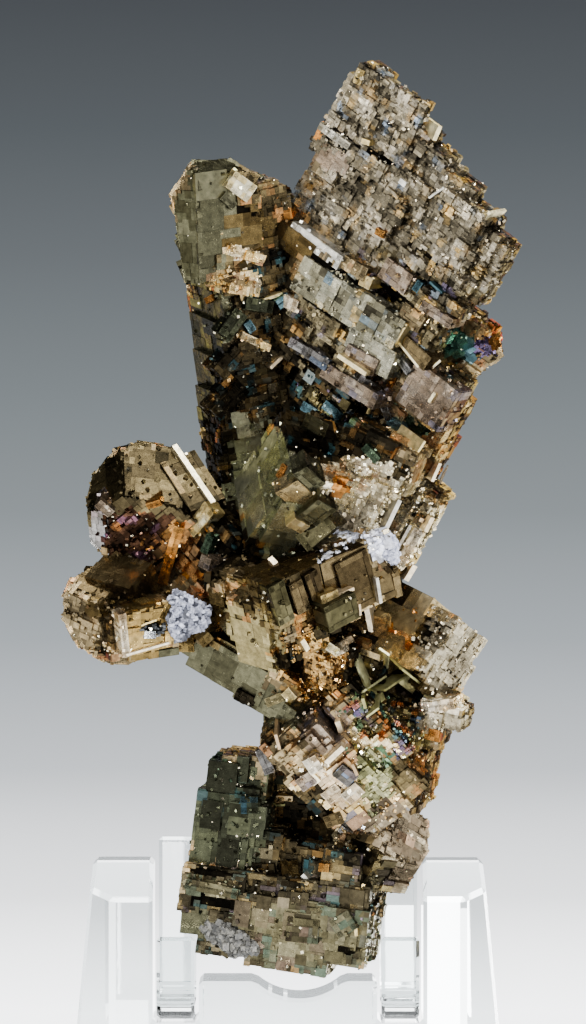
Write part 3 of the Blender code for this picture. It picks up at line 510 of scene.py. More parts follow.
# %% Zones of the front view
ZONES = [
    # style, middle (picture point), half widths in pixels, turn in degrees
    ("blade", (395, 200), (95, 175), 35),
    ("blade_low", (385, 350), (105, 95), 35),
    ("blade_plate", (348, 304), (58, 20), -35),
    ("dark", (325, 425), (50, 50), 20),
    # painted shade: the hollow in the middle is laid black
    ("black_tarnish_and_shade", (300, 395), (42, 22), -35),
    ("dark", (400, 455), (60, 50), 0),
    ("bronze", (430, 440), (40, 70), 20),
    ("bronze", (448, 470), (16, 90), 22),
    ("sand", (410, 530), (40, 60), 20),
    ("olive", (240, 250), (60, 100), 0),
    ("tan", (248, 228), (34, 18), -10),
    ("green_grey", (202, 222), (27, 70), -14),
    ("green_grey", (206, 345), (20, 95), -9),
    # painted shade: the deep hollow beside the finger is laid black
    ("black_tarnish_and_shade", (268, 335), (36, 80), 0),
    ("dark", (240, 370), (26, 34), 0),
    ("black_tarnish_and_shade", (240, 445), (34, 66), 0),
    ("highlight_cream", (240, 256), (22, 6), -14),
    ("copper_pink", (234, 282), (26, 13), 0),
    ("black_tarnish_and_shade", (262, 530), (70, 40), 0),
    ("olive_pale", (268, 490), (31, 76), 15),
    ("sand", (348, 492), (44, 34), 25),
    ("pale_grainy", (345, 527), (40, 9), 38),
    ("orange_film", (340, 488), (10, 7), 0),
    ("head", (146, 496), (66, 58), 0),
    ("maroon", (140, 535), (46, 26), 0),
    ("lilac", (98, 532), (6, 22), 0),
    ("rose", (108, 508), (9, 7), 0),
    ("orange", (190, 548), (26, 30), 50),
    ("black_tarnish_and_shade", (215, 560), (16, 26), 0),
    ("bronze", (80, 612), (28, 50), 0),
    ("umber", (120, 580), (44, 24), -15),
    ("gold", (148, 628), (30, 28), 0),
    ("pit_grey", (152, 629), (13, 8), 10),
    ("tan", (100, 608), (13, 9), 0),
    ("tan", (222, 622), (14, 32), 0),
    ("orange_film", (218, 632), (6, 9), 0),
    ("pale_plate", (254, 634), (30, 42), 10),
    ("green_grey", (225, 678), (62, 26), -30),
    ("olive", (300, 592), (70, 36), 0),
    ("tan", (282, 568), (42, 9), 12),
    ("umber", (346, 582), (30, 34), 0),
    ("gold_grains", (302, 614), (14, 13), 0),
    ("gold_grains", (322, 662), (44, 42), 0),
    ("dark", (286, 657), (13, 11), 0),
    ("black_tarnish_and_shade", (368, 674), (26, 36), -10),
    ("black_tarnish_and_shade", (352, 632), (40, 12), 0),
    ("right_dark", (410, 622), (48, 56), 0),
    ("umber", (391, 585), (17, 20), 0),
    ("frost", (377, 545), (13, 14), 0),
    ("frost", (345, 537), (11, 6), -10),
    ("frost", (327, 556), (7, 4), 0),
    ("orange_film", (413, 614), (8, 8), 0),
    ("orange_film", (397, 627), (10, 8), 0),
    ("orange_film", (408, 643), (9, 6), 0),
    ("dark", (432, 632), (20, 14), 20),
    ("pale_grainy", (455, 655), (34, 44), -35),
    ("black_tarnish_and_shade", (400, 690), (30, 20), 0),
    ("iridescent", (378, 728), (52, 32), 0),
    ("highlight_cream", (440, 706), (22, 9), 0),
    ("pale_grainy", (445, 724), (26, 12), 0),
    ("orange_film", (433, 735), (9, 4), 0),
    ("copper_pink", (330, 790), (70, 70), -15),
    ("rose", (322, 728), (26, 24), 0),
    ("green_grey", (284, 714), (16, 16), 0),
    ("bronze", (286, 755), (22, 30), 0),
    ("highlight_cream", (333, 782), (30, 20), 0),
    ("mint", (374, 774), (22, 28), 0),
    ("olive", (411, 775), (21, 24), 0),
    ("lilac", (375, 817), (38, 11), 12),
    ("brown_rock", (395, 852), (42, 48), 0),
    ("olive", (366, 862), (18, 26), 0),
    ("foot", (280, 900), (110, 80), 0),
    ("pastel", (300, 938), (90, 34), -4),
    ("green_grey", (194, 922), (16, 16), 0),
    ("foot_dark", (232, 815), (46, 56), 0),
    ("green_film", (214, 766), (20, 12), -10),
    ("blue", (222, 798), (9, 7), 0),
    ("teal_dark", (228, 800), (28, 14), 0),
    ("black_tarnish_and_shade", (298, 832), (30, 52), -18),
    ("highlight_cream", (212, 862), (30, 3), -4),
    # painted shadow lines below the ledges of the foot
    ("painted_shadow_groove", (214, 871), (30, 3), -3),
    ("pastel", (213, 885), (30, 6), -9),
    ("painted_shadow_groove", (218, 899), (30, 6), -12),
    ("bronze", (474, 340), (30, 34), 0),
    ("teal_bright", (457, 346), (13, 17), 20),
    ("blue", (470, 353), (9, 12), 0),
    ("violet", (483, 347), (9, 12), 0),
    ("orange_film", (495, 340), (7, 15), 0),
    ("iridescent", (330, 405), (44, 12), -35),
    # painted shadow lines under the plates of the blade and elsewhere
    ("painted_shadow_groove", (332, 268), (32, 5), -35),
    ("painted_shadow_groove", (395, 295), (26, 4), -37),
    ("painted_shadow_groove", (430, 262), (30, 2), -38),
    ("painted_shadow_groove", (413, 271), (13, 2), -38),
    ("painted_shadow_groove", (342, 137), (25, 2), -37),
    ("painted_shadow_groove", (336, 144), (15, 2), -37),
    ("painted_shadow_groove", (376, 158), (20, 2), -30),
    ("painted_shadow_groove", (321, 305), (30, 2), -36),
    ("painted_shadow_groove", (308, 362), (12, 4), -36),
    ("painted_shadow_groove", (243, 211), (20, 3), -13),
    ("painted_shadow_groove", (289, 596), (3, 18), 17),
    ("painted_shadow_groove", (320, 579), (2, 14), 15),
    ("painted_shadow_groove", (262, 866), (17, 2), 0),
    ("painted_shadow_groove", (345, 948), (14, 1.5), 0),
    ("orange_film", (318, 131), (8, 7), 0),
    ("orange_film", (288, 217), (8, 7), 0),
    ("tan", (297, 243), (12, 16), 0),
    ("rose", (330, 162), (15, 12), -30),
]

print("zones", len(ZONES))

# %% [markdown]
# A map with a step of 0.1 mm keeps the number of the style at each place, so that a style is found
# at once for any point. The zones are laid over the whole depth, as nothing shows the back: it is
# given the finish of what stands in front of it.

# %% Map of the styles
MAP_STEP = 0.1         # mm
MAP_LEFT, MAP_RIGHT, MAP_TOP = -24, 26, 92
STYLE_NAMES = list(STYLES)


def style_map():
    """The number of the style at each place of the front view, later zones over earlier ones."""
    x, z = np.meshgrid(
        np.arange(MAP_LEFT, MAP_RIGHT, MAP_STEP), np.arange(0, MAP_TOP, MAP_STEP), indexing="ij")
    fray = (0.10 * np.sin(1.9 * x + 1.7 * np.sin(0.9 * z))
            + 0.08 * np.sin(3.1 * z + np.sin(2.3 * x)) + 0.05 * np.sin(7.3 * x + 2.0 * z))
    found = np.full(x.shape, STYLE_NAMES.index("bronze"))
    for name, middle, half, turn in ZONES:
        mx, mz = spot(*middle)
        c, s = math.cos(math.radians(turn)), math.sin(math.radians(turn))
        u = ((x - mx) * c + (z - mz) * s) / (half[0] * PIXEL_MM)
        v = ((z - mz) * c - (x - mx) * s) / (half[1] * PIXEL_MM)
        found[np.hypot(u, v) + fray < 1] = STYLE_NAMES.index(name)
    return found


style_numbers = style_map()


def style_at(point):
    i = min(max(int((point[0] - MAP_LEFT) / MAP_STEP), 0), style_numbers.shape[0] - 1)
    j = min(max(int(point[2] / MAP_STEP), 0), style_numbers.shape[1] - 1)
    return STYLES[STYLE_NAMES[style_numbers[i, j]]]


print("map", style_numbers.shape)

# %% [markdown]
# The mosaic has to follow the real faces. A face keeps its triangles and two directions in its
# plane. They come from its outer edges, the longest counting most, since the growth steps of pyrite
# run along the edges of its cubes. It can also say whether a point or a whole cell lies in it.

# %% What a flat face knows
CELL_MARGIN = 0.15     # share of a cell's side that may lie outside the face


class Face:
    def __init__(self, points, triangles, normal, style=None):
        self.style = style
        self.normal = normal
        self.points = points
        self.triangles = triangles
        self.corners = points[triangles]
        sides = np.cross(
            self.corners[:, 1] - self.corners[:, 0], self.corners[:, 2] - self.corners[:, 0])
        self.area = 0.5 * np.linalg.norm(sides, axis=1).sum()
        self.origin = self.corners.reshape(-1, 3).mean(axis=0)

    def set_directions(self):
        """In-plane axes from the edges that only one triangle has, weighted by their length."""
        count = {}
        for a, b, c in self.triangles:
            for edge in ((a, b), (b, c), (c, a)):
                key = (min(edge), max(edge))
                count[key] = count.get(key, 0) + 1
        n = self.normal
        first = np.cross(n, [0.31, 0.17, 0.93])
        first /= np.linalg.norm(first)
        second = np.cross(n, first)
        total = 0j
        for (a, b), times in count.items():
            if times == 1:
                d = self.points[b] - self.points[a]
                turn = complex(d @ first, d @ second)
                if abs(turn) > 1e-6:
                    total += abs(turn) * (turn / abs(turn)) ** 4
        angle = math.atan2(total.imag, total.real) / 4
        self.u = math.cos(angle) * first + math.sin(angle) * second
        self.v = np.cross(n, self.u)
        if abs(self.v[0]) > abs(self.u[0]):
            self.u, self.v = self.v, -self.u
        flat = self.corners - self.origin
        self.flat = np.stack([flat @ self.u, flat @ self.v], axis=-1)

    def holds(self, points):
        """Which of these in-plane points lie in the face."""
        inside = np.zeros(len(points), bool)
        for a, b, c in self.flat:
            d = (b[0] - a[0]) * (c[1] - a[1]) - (b[1] - a[1]) * (c[0] - a[0])
            if abs(d) < 1e-9:
                continue
            p = points - a
            s = (p[:, 0] * (c[1] - a[1]) - p[:, 1] * (c[0] - a[0])) / d
            t = (p[:, 1] * (b[0] - a[0]) - p[:, 0] * (b[1] - a[1])) / d
            inside |= (s >= -1e-3) & (t >= -1e-3) & (s + t <= 1.001)
        return inside

    def holds_cell(self, u0, u1, v0, v1):
        """Whether a cell lies wholly in the face, so that a large one does not stick out."""
        m = CELL_MARGIN * min(u1 - u0, v1 - v0)
        return self.holds(np.array([(u0 + m, v0 + m), (u1 - m, v0 + m), (u0 + m, v1 - m),
                                    (u1 - m, v1 - m)])).all()


print("a cell may stick out by", CELL_MARGIN)

# %% [markdown]
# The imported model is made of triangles. Neighbours that lie in one plane belong to one face, so
# they are joined step by step, until what is left is the large flat faces of the crystals. Blender
# can dissolve flat edges too, but the triangles are needed for measuring areas and placing grains.

# %% Find the flat faces of the cluster
SAME_DIRECTION = 0.9999
SAME_PLANE_MM = 0.02


def flat_faces(obj):
    mesh = obj.data
    raw = np.empty(len(mesh.vertices) * 3)
    mesh.vertices.foreach_get("co", raw)
    raw = np.round(raw.reshape(-1, 3) / MM, 4)
    mesh.calc_loop_triangles()
    tris = np.empty(len(mesh.loop_triangles) * 3, np.int32)
    mesh.loop_triangles.foreach_get("vertices", tris)
    points, merged = np.unique(raw, axis=0, return_inverse=True)
    tris = merged.ravel()[tris].reshape(-1, 3)
    a, b, c = (points[tris[:, i]] for i in range(3))
    cross = np.cross(b - a, c - a)
    size = np.linalg.norm(cross, axis=1)
    keep = size > 1e-7
    tris, normals = tris[keep], cross[keep] / size[keep][:, None]
    offset = (points[tris].mean(axis=1) * normals).sum(axis=1)
    parent = list(range(len(tris)))

    def root(i):
        while parent[i] != i:
            parent[i] = parent[parent[i]]
            i = parent[i]
        return i

    sides = {}
    for i, tri in enumerate(tris):
        for a, b in ((0, 1), (1, 2), (2, 0)):
            key = (min(tri[a], tri[b]), max(tri[a], tri[b]))
            for j in sides.get(key, []):
                level = abs(offset[i] - offset[j]) < SAME_PLANE_MM
                if level and normals[i] @ normals[j] > SAME_DIRECTION:
                    parent[root(i)] = root(j)
            sides.setdefault(key, []).append(i)
    groups = {}
    for i in range(len(tris)):
        groups.setdefault(root(i), []).append(i)
    faces = []
    for members in groups.values():
        normal = normals[members].mean(axis=0)
        faces.append(Face(points, tris[members], normal / np.linalg.norm(normal)))
    return faces


faces = flat_faces(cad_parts["pyrite_cluster"])
for face in faces:
    face.set_directions()
print("faces", len(faces), "area mm2", round(sum(face.area for face in faces)))

# %% [markdown]
# Smaller crystals than the imported model holds lie on its faces: slabs and bars, and thin pale
# strips along edges that are painted highlights, all measured one by one. Each is given by the two
# ends of its middle line in the picture, its width in pixels, how far it stands off the face, and
# its style.

# %% Slabs, bars and painted edge highlights
SLABS = [
    # from, to, width in pixels, lift in mm, style
    # pale yellow, cream, silver and edge green strips in this list are painted highlights
    ((352, 88), (418, 132), 48, 0.4, "blade"),
    ((376, 128), (394, 139), 14, 0.8, "blade"),
    ((362, 84), (366, 72), 6, 0.9, "highlight_yellow"),
    ((428, 140), (434, 126), 4, 0.9, "highlight_yellow"),
    ((365, 142), (373, 145), 5, 0.7, "highlight_yellow"),
    ((322, 127), (350, 148), 5, 0.35, "blade_light"),
    ((402, 182), (408, 187), 5, 0.6, "highlight_silver"),
    ((431, 200), (446, 190), 2, 0.6, "highlight_silver"),
    ((320, 205), (345, 222), 20, 0.35, "blade"),
    ((385, 205), (405, 218), 18, 0.4, "blade"),
    ((440, 205), (478, 232), 30, 0.3, "blade"),
    ((481, 226), (491, 215), 3, 0.6, "highlight_yellow"),
    ((379, 232), (386, 236), 5, 0.5, "orange_film"),
    ((297, 228), (345, 263), 12, 1.0, "highlight_silver"),
    ((302, 272), (400, 338), 33, 0.6, "blade_plate"),
    ((350, 340), (394, 366), 26, 0.5, "blade_plate"),
    ((350, 352), (379, 368), 15, 0.75, "rose"),
    ((411, 324), (397, 347), 4, 1.1, "highlight_yellow"),
    ((396, 341), (385, 362), 7, 1.0, "highlight_yellow"),
    ((384, 363), (376, 370), 7, 1.0, "highlight_yellow"),
    ((343, 355), (371, 374), 4, 1.0, "highlight_yellow"),
    ((395, 368), (379, 394), 3, 0.8, "highlight_yellow"),
    ((378, 395), (371, 413), 2, 0.7, "highlight_yellow"),
    ((332, 280), (348, 294), 2, 0.9, "highlight_cream"),
    ((360, 303), (364, 326), 4, 0.8, "highlight_yellow"),
    ((294, 304), (338, 334), 20, 0.4, "blade_low"),
    ((288, 300), (300, 306), 10, 0.6, "highlight_cream"),
    ((295, 341), (311, 351), 7, 0.8, "lilac"),
    ((312, 352), (331, 365), 9, 0.8, "lilac"),
    ((327, 369), (344, 381), 13, 0.6, "rose"),
    ((343, 380), (378, 402), 14, 0.6, "rose"),
    ((355, 375), (380, 391), 5, 0.8, "lilac"),
    ((410, 380), (450, 412), 42, 0.6, "rose"),
    ((394, 401), (424, 431), 8, 0.4, "green_film"),
    ((400, 374), (392, 390), 3, 0.9, "orange_film"),
    ((439, 393), (433, 402), 3, 0.9, "highlight_yellow"),
    ((396, 350), (412, 372), 5, 0.7, "lilac"),
    ((408, 343), (431, 364), 13, 0.9, "umber"),
    ((402, 341), (423, 367), 2, 1.0, "highlight_yellow"),
    ((424, 366), (434, 357), 2, 1.0, "highlight_yellow"),
    ((402, 252), (432, 276), 9, 0.5, "blade"),
    ((433, 283), (445, 294), 2, 0.8, "blue"),
    ((424, 283), (419, 291), 3, 0.8, "blue"),
    ((424, 293), (462, 316), 9, 0.4, "blade"),
    ((440, 270), (462, 287), 11, 0.6, "blade"),
    ((386, 268), (410, 286), 19, 0.5, "rose"),
    ((347, 262), (368, 276), 11, 0.6, "bronze"),
    ((368, 269), (373, 272), 5, 0.9, "highlight_silver"),
    ((364, 280), (373, 285), 9, 0.5, "highlight_yellow"),
    ((405, 311), (424, 326), 15, 0.7, "bronze"),
    ((424, 306), (452, 325), 8, 0.5, "rose"),
    ((306, 405), (318, 413), 7, 0.5, "blue"),
    ((328, 404), (342, 416), 7, 0.5, "blue"),
    ((388, 405), (393, 418), 5, 0.8, "lilac"),
    ((393, 420), (404, 428), 7, 0.7, "blue"),
    ((302, 425), (322, 436), 12, 0.6, "green_grey"),
    ((366, 447), (378, 460), 6, 0.8, "green_film"),
    ((398, 448), (392, 458), 2, 0.9, "orange_film"),
    ((419, 438), (410, 452), 2, 0.9, "highlight_yellow"),
    ((436, 460), (428, 478), 3, 0.8, "highlight_cream"),
    ((446, 470), (438, 488), 2, 0.8, "highlight_cream"),
    ((228, 180), (248, 194), 17, 0.7, "highlight_yellow"),
    ((222, 197), (232, 207), 7, 0.4, "green_grey"),
    ((228, 251), (260, 259), 7, 0.7, "copper_pink"),
    ((228, 284), (256, 287), 10, 0.7, "copper_pink"),
    ((260, 300), (280, 293), 3, 0.6, "highlight_yellow"),
    ((243, 302), (268, 306), 10, 0.9, "foot_dark"),
    ((210, 300), (216, 297), 4, 0.5, "orange_film"),
    ((222, 335), (238, 312), 13, 0.7, "foot_dark"),
    ((216, 372), (236, 350), 12, 0.7, "dark"),
    ((214, 412), (240, 385), 13, 0.8, "dark"),
    ((240, 335), (266, 347), 5, 0.5, "copper_pink"),
    ((268, 367), (284, 352), 3, 0.6, "highlight_cream"),
    ((245, 322), (250, 330), 6, 0.6, "blue"),
    ((286, 297), (276, 304), 8, 0.6, "blue"),
    ((286, 482), (304, 498), 22, 0.6, "right_dark"),
    ((299, 467), (317, 483), 13, 0.5, "green_grey"),
    ((306, 514), (325, 499), 18, 0.7, "green_grey"),
    ((302, 540), (329, 517), 23, 0.6, "olive_smooth"),
    ((290, 515), (303, 522), 9, 0.8, "highlight_yellow"),
    ((392, 497), (377, 528), 4, 1.0, "highlight_silver"),
    ((404, 502), (397, 512), 3, 0.9, "highlight_silver"),
    ((412, 524), (392, 561), 3, 1.0, "highlight_silver"),
    ((428, 514), (421, 528), 4, 0.9, "highlight_cream"),
    ((420, 530), (401, 563), 7, 0.8, "highlight_cream"),
    ((412, 563), (403, 578), 5, 0.7, "highlight_cream"),
    ((281, 478), (287, 467), 4, 0.3, "orange_film"),
    ((272, 582), (283, 618), 15, 0.6, "olive_smooth"),
    ((292, 581), (301, 608), 12, 0.5, "umber"),
    ((306, 571), (314, 594), 12, 0.6, "umber"),
    ((347, 556), (361, 605), 33, 0.4, "umber"),
    ((320, 616), (349, 601), 23, 1.0, "olive_smooth"),
    ((314, 596), (329, 590), 7, 1.2, "highlight_yellow"),
    ((330, 591), (346, 585), 3, 1.2, "highlight_cream"),
    ((351, 600), (352, 611), 2, 1.2, "highlight_cream"),
    ((271, 561), (277, 567), 5, 0.6, "highlight_cream"),
    ((370, 575), (374, 600), 3, 1.0, "highlight_silver"),
    ((367, 605), (372, 630), 5, 1.0, "highlight_cream"),
    ((296, 636), (302, 646), 5, 1.0, "highlight_yellow"),
    ((321, 642), (330, 648), 6, 1.0, "highlight_yellow"),
    ((342, 640), (346, 648), 6, 0.9, "highlight_cream"),
    ((290, 688), (297, 696), 8, 0.9, "highlight_yellow"),
    ((356, 648), (371, 684), 2, 0.9, "highlight_edge_green"),
    ((371, 684), (390, 685), 2, 0.9, "highlight_edge_green"),
    ((371, 684), (361, 691), 2, 0.9, "highlight_edge_green"),
    ((371, 685), (378, 702), 2, 0.9, "highlight_edge_green"),
    ((362, 692), (365, 702), 3, 0.9, "highlight_edge_green"),
    ((378, 702), (366, 711), 2, 0.8, "highlight_edge_green"),
    ((389, 656), (405, 671), 2, 0.6, "highlight_edge_green"),
    ((410, 677), (403, 686), 2, 0.9, "highlight_edge_green"),
    ((378, 650), (388, 657), 2, 0.5, "highlight_edge_green"),
    ((425, 704), (455, 701), 8, 0.9, "highlight_cream"),
    ((452, 693), (460, 698), 8, 0.8, "highlight_yellow"),
    ((326, 756), (343, 740), 5, 0.9, "highlight_cream"),
    ((337, 715), (342, 729), 5, 0.9, "highlight_cream"),
    ((309, 752), (317, 764), 12, 0.8, "highlight_cream"),
    ((326, 792), (339, 782), 12, 0.8, "highlight_cream"),
    ((346, 792), (359, 781), 12, 0.8, "highlight_cream"),
    ((338, 763), (352, 774), 13, 0.8, "lilac"),
    ((352, 757), (357, 768), 3, 0.9, "highlight_cream"),
    ((300, 780), (312, 772), 12, 0.6, "rose"),
    ((326, 817), (341, 812), 10, 0.6, "umber"),
    ((262, 748), (271, 770), 9, 0.7, "lilac"),
    ((276, 728), (280, 743), 3, 0.8, "highlight_cream"),
    ((270, 700), (285, 694), 7, 0.6, "pale_plate"),
    ((283, 708), (294, 716), 16, 0.5, "green_grey"),
    ((243, 802), (258, 802), 15, 0.7, "teal_dark"),
    ((274, 804), (286, 804), 2, 0.8, "highlight_edge_green"),
    ((188, 880), (238, 890), 8, 0.6, "pastel"),
    ((258, 868), (275, 867), 10, 0.5, "black_tarnish_and_shade"),
    ((282, 873), (297, 873), 16, 0.6, "tan"),
    ((304, 871), (309, 877), 4, 1.0, "highlight_silver"),
    ((321, 863), (329, 864), 6, 0.9, "orange_film"),
    ((356, 920), (357, 931), 3, 0.8, "highlight_yellow"),
    ((335, 925), (352, 915), 18, 0.5, "pastel"),
    ((288, 925), (318, 928), 22, 0.4, "pastel"),
    ((178, 460), (208, 506), 34, 0.3, "head"),
    ((174, 450), (213, 507), 5, 0.75, "highlight_yellow"),
    ((141, 625), (158, 619), 2, 0.5, "highlight_yellow"),
    ((126, 652), (168, 640), 2, 0.5, "highlight_cream"),
    ((216, 508), (197, 530), 13, 0.8, "highlight_yellow"),
    ((181, 523), (164, 578), 8, 0.8, "orange_film"),
    ((101, 500), (113, 510), 7, 0.6, "rose"),
    ((217, 536), (211, 552), 6, 0.8, "green_film"),
    ((213, 557), (210, 567), 9, 0.7, "rose"),
    ((122, 612), (126, 653), 6, 0.4, "highlight_cream"),
    ((150, 503), (162, 499), 3, 0.6, "orange_film"),
    ((239, 692), (254, 700), 9, 0.5, "dark"),
    ((182, 640), (196, 640), 18, 0.6, "gold"),
    ((204, 630), (212, 640), 12, 0.7, "tan"),
]
print("slabs in the list", len(SLABS))

# %% [markdown]
# A ray from the front finds the face that a slab lies on. The block takes the tilt of that face and
# has its root in the rock, so it sits there from every side. A block laid flat on the picture would
# hang in the air when seen from the side.

# %% Seat a slab on the rock
SIDES = np.array([
    (0, 2, 3, 1), (4, 5, 7, 6), (0, 1, 5, 4), (2, 6, 7, 3), (0, 4, 6, 2), (1, 3, 7, 5),
])
CORNERS = np.array([(x, y, z) for z in (0, 1) for y in (0, 1) for x in (0, 1)], float)
IN_FRONT_MM = 60
STEEP = -0.5           # a face that looks less to the front than this is turned to it
TURN_TO_FRONT = np.array([0, -0.8, 0])
ALONG = (0.15, 0.5, 0.85)              # where the rays fall along the middle line
ROOT_MM, DEEPEST_ROOT_MM = 0.6, 3.0
MOST_SLANTED = 0.5                     # a block is widened for its slant, but not past twice


def bvh_of(obj):
    points = [tuple(v.co / MM) for v in obj.data.vertices]
    return BVHTree.FromPolygons(points, [tuple(p.vertices) for p in obj.data.polygons])


def front_face(tree_of_faces, px, py):
    x, z = spot(px, py)
    hit, normal, _, _ = tree_of_faces.ray_cast(
        Vector((x, -IN_FRONT_MM, z)), Vector((0, 1, 0)))
    return (None, None) if hit is None else (np.array(hit), np.array(normal))


def slab_corners(tree_of_faces, start, end, width, lift):
    """A block whose top lies just over the rock along its middle line, tilted as the rock is."""
    hits = []
    for t in ALONG:
        hit, normal = front_face(
            tree_of_faces, start[0] + t * (end[0] - start[0]), start[1] + t * (end[1] - start[1]))
        if hit is not None:
            hits.append((hit, normal if normal[1] < 0 else -normal))
    if not hits:
        return None
    normal = min((n for _, n in hits), key=lambda n: n[1])
    if normal[1] > STEEP:
        normal = normal + TURN_TO_FRONT
        normal /= np.linalg.norm(normal)
    levels = [hit @ normal for hit, _ in hits]
    root = min(DEEPEST_ROOT_MM, max(levels) - min(levels) + ROOT_MM)
    x, z = spot((start[0] + end[0]) / 2, (start[1] + end[1]) / 2)
    y = (max(levels) - x * normal[0] - z * normal[2]) / normal[1]
    run = np.array([end[0] - start[0], 0.0, start[1] - end[1]]) * PIXEL_MM
    run[1] = -(run[0] * normal[0] + run[2] * normal[2]) / normal[1]
    across = np.cross(normal, run)
    across /= np.linalg.norm(across)
    seen = np.array([end[1] - start[1], 0, end[0] - start[0]])
    seen = abs(across @ seen) / np.linalg.norm(seen)
    size = (np.linalg.norm(run), width * PIXEL_MM / max(seen, MOST_SLANTED), lift + root)
    local = (CORNERS - (0.5, 0.5, 1)) * size
    local[:, 2] += lift
    return (np.array([x, y, z]) + np.outer(local[:, 0], run / np.linalg.norm(run))
            + np.outer(local[:, 1], across) + np.outer(local[:, 2], normal))


def block_faces(corners, style):
    """The top and the four sides of a block, each as a face that the mosaic can cover."""
    made = []
    for side in SIDES[1:]:
        quad = corners[side]
        normal = np.cross(quad[1] - quad[0], quad[2] - quad[0])
        normal /= np.linalg.norm(normal)
        if normal @ (quad.mean(axis=0) - corners.mean(axis=0)) < 0:
            normal = -normal
        made.append(Face(quad, np.array([(0, 1, 2), (0, 2, 3)]), normal, style))
    return made


rock = bvh_of(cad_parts["pyrite_cluster"])
print("triangles of rock", len(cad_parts["pyrite_cluster"].data.polygons))

# %% [markdown]
# The wide slabs get a mosaic of their own, so their faces join the others. The thin ones stay
# plain, smooth as a ruled line; most are pale strips that paint highlights along edges.

# %% Slabs and their faces
THIN, THIN_HIGHLIGHT = 3, 6           # pixels
# pale styles whose thin strips paint the highlights along edges
HIGHLIGHT_STYLES = ("highlight_yellow", "highlight_cream", "highlight_silver", "highlight_edge_green")

slab_blocks = []
for start, end, width, lift, style in SLABS:
    corners = slab_corners(rock, start, end, width, lift)
    if corners is None:
        continue
    slab_blocks.append((corners, STYLES[style]))
    if width < THIN or (width < THIN_HIGHLIGHT and style in HIGHLIGHT_STYLES):
        continue
    for face in block_faces(corners, STYLES[style]):
        face.set_directions()
        faces.append(face)
print("slabs", len(slab_blocks), "of", len(SLABS))

# %% [markdown]
# Each face is then divided like a growing crystal: a rectangle splits across its longer side again
# and again, and every part is lifted a little against the other. The last parts, the cells, become
# low closed blocks. Their small tilts make one flash while its neighbour stays dark.

# %% Split a face into cells
FRONT, BACK = -0.25, 0.25              # how far the face looks to the back
FRONT_COARSE, SIDE_COARSE, BACK_COARSE = 1.0, 1.5, 2.2
FACE_EDGE_MM = 0.1
SLAB_HEIGHT_MM, ROCK_HEIGHT_MM = 0.04, 0.12    # level of the mosaic before it splits
COARSEST_MM = 1.1      # sides and back aren't laid coarser than this, unless their style is
STOP = (0.7, 1.9)      # a part smaller than this many cells of its style is a cell
CUT = (0.3, 0.7)       # where a part is cut
SLENDER = (0.9, 2.2)   # a part longer than this many widths is cut across
FULL_STEP_MM = 3.0     # smaller parts get lower steps


def split_face(face, rng):
    """Cells of one face as (u middle, v middle, width, length, height, tilt u, tilt v).

    The sides and the back are laid coarser, to keep the model light."""
    coarse = FRONT_COARSE if face.normal[1] < FRONT else (
        SIDE_COARSE if face.normal[1] < BACK else BACK_COARSE)
    low = face.flat.min(axis=(0, 1)) - FACE_EDGE_MM
    high = face.flat.max(axis=(0, 1)) + FACE_EDGE_MM
    start = SLAB_HEIGHT_MM if face.style else ROCK_HEIGHT_MM
    waiting = [(low[0], high[0], low[1], high[1], start, 0.0, 0.0)]
    cells = []
    while waiting:
        u0, u1, v0, v1, height, tip_u, tip_v = waiting.pop()
        width, length = u1 - u0, v1 - v0
        middle = face.origin + face.u * (u0 + u1) / 2 + face.v * (v0 + v1) / 2
        style = face.style or style_at(middle)
        longest = max(width, length)
        side = min(style.cell * coarse, max(style.cell, COARSEST_MM))
        if longest < side * rng.uniform(*STOP) and (
                longest < 0.5 * coarse or face.holds_cell(u0, u1, v0, v1)):
            cells.append(((u0 + u1) / 2, (v0 + v1) / 2, width, length, height, tip_u, tip_v))
            continue
        share = rng.uniform(*CUT)
        step = style.relief * min(1.0, (longest / FULL_STEP_MM) ** 1.1)
        if longest < style.cell:
            step = 0.0
        lift = [height + rng.uniform(-0.5, 0.5) * step for _ in range(2)]
        tips = [(tip_u + rng.gauss(0, 0.3) * style.tilt, tip_v + rng.gauss(0, 0.3) * style.tilt)
                for _ in range(2)]
        if width > length * rng.uniform(*SLENDER):
            cut = u0 + share * width
            waiting.append((u0, cut, v0, v1, lift[0], *tips[0]))
            waiting.append((cut, u1, v0, v1, lift[1], *tips[1]))
        else:
            cut = v0 + share * length
            waiting.append((u0, u1, v0, cut, lift[0], *tips[0]))
            waiting.append((u0, u1, cut, v1, lift[1], *tips[1]))
    return cells


print("cells of the largest face", len(split_face(
    max(faces, key=lambda face: face.area), random.Random(1))))

# %% [markdown]
# Tarnish drifts softly over a crystal, and thin films lie over it in patches. Smooth noise in space
# gives both, so neighbouring blocks look related. A little chance is added for each block, because
# every growth step tarnishes in its own way.

# %% Tarnish of one block
BROAD, FINE = (0.45, 0.85), (1.6, 0.55)        # turns of the drift per mm, and its strength
FILM_TURNS = 0.75                              # turns of the patches of film per mm


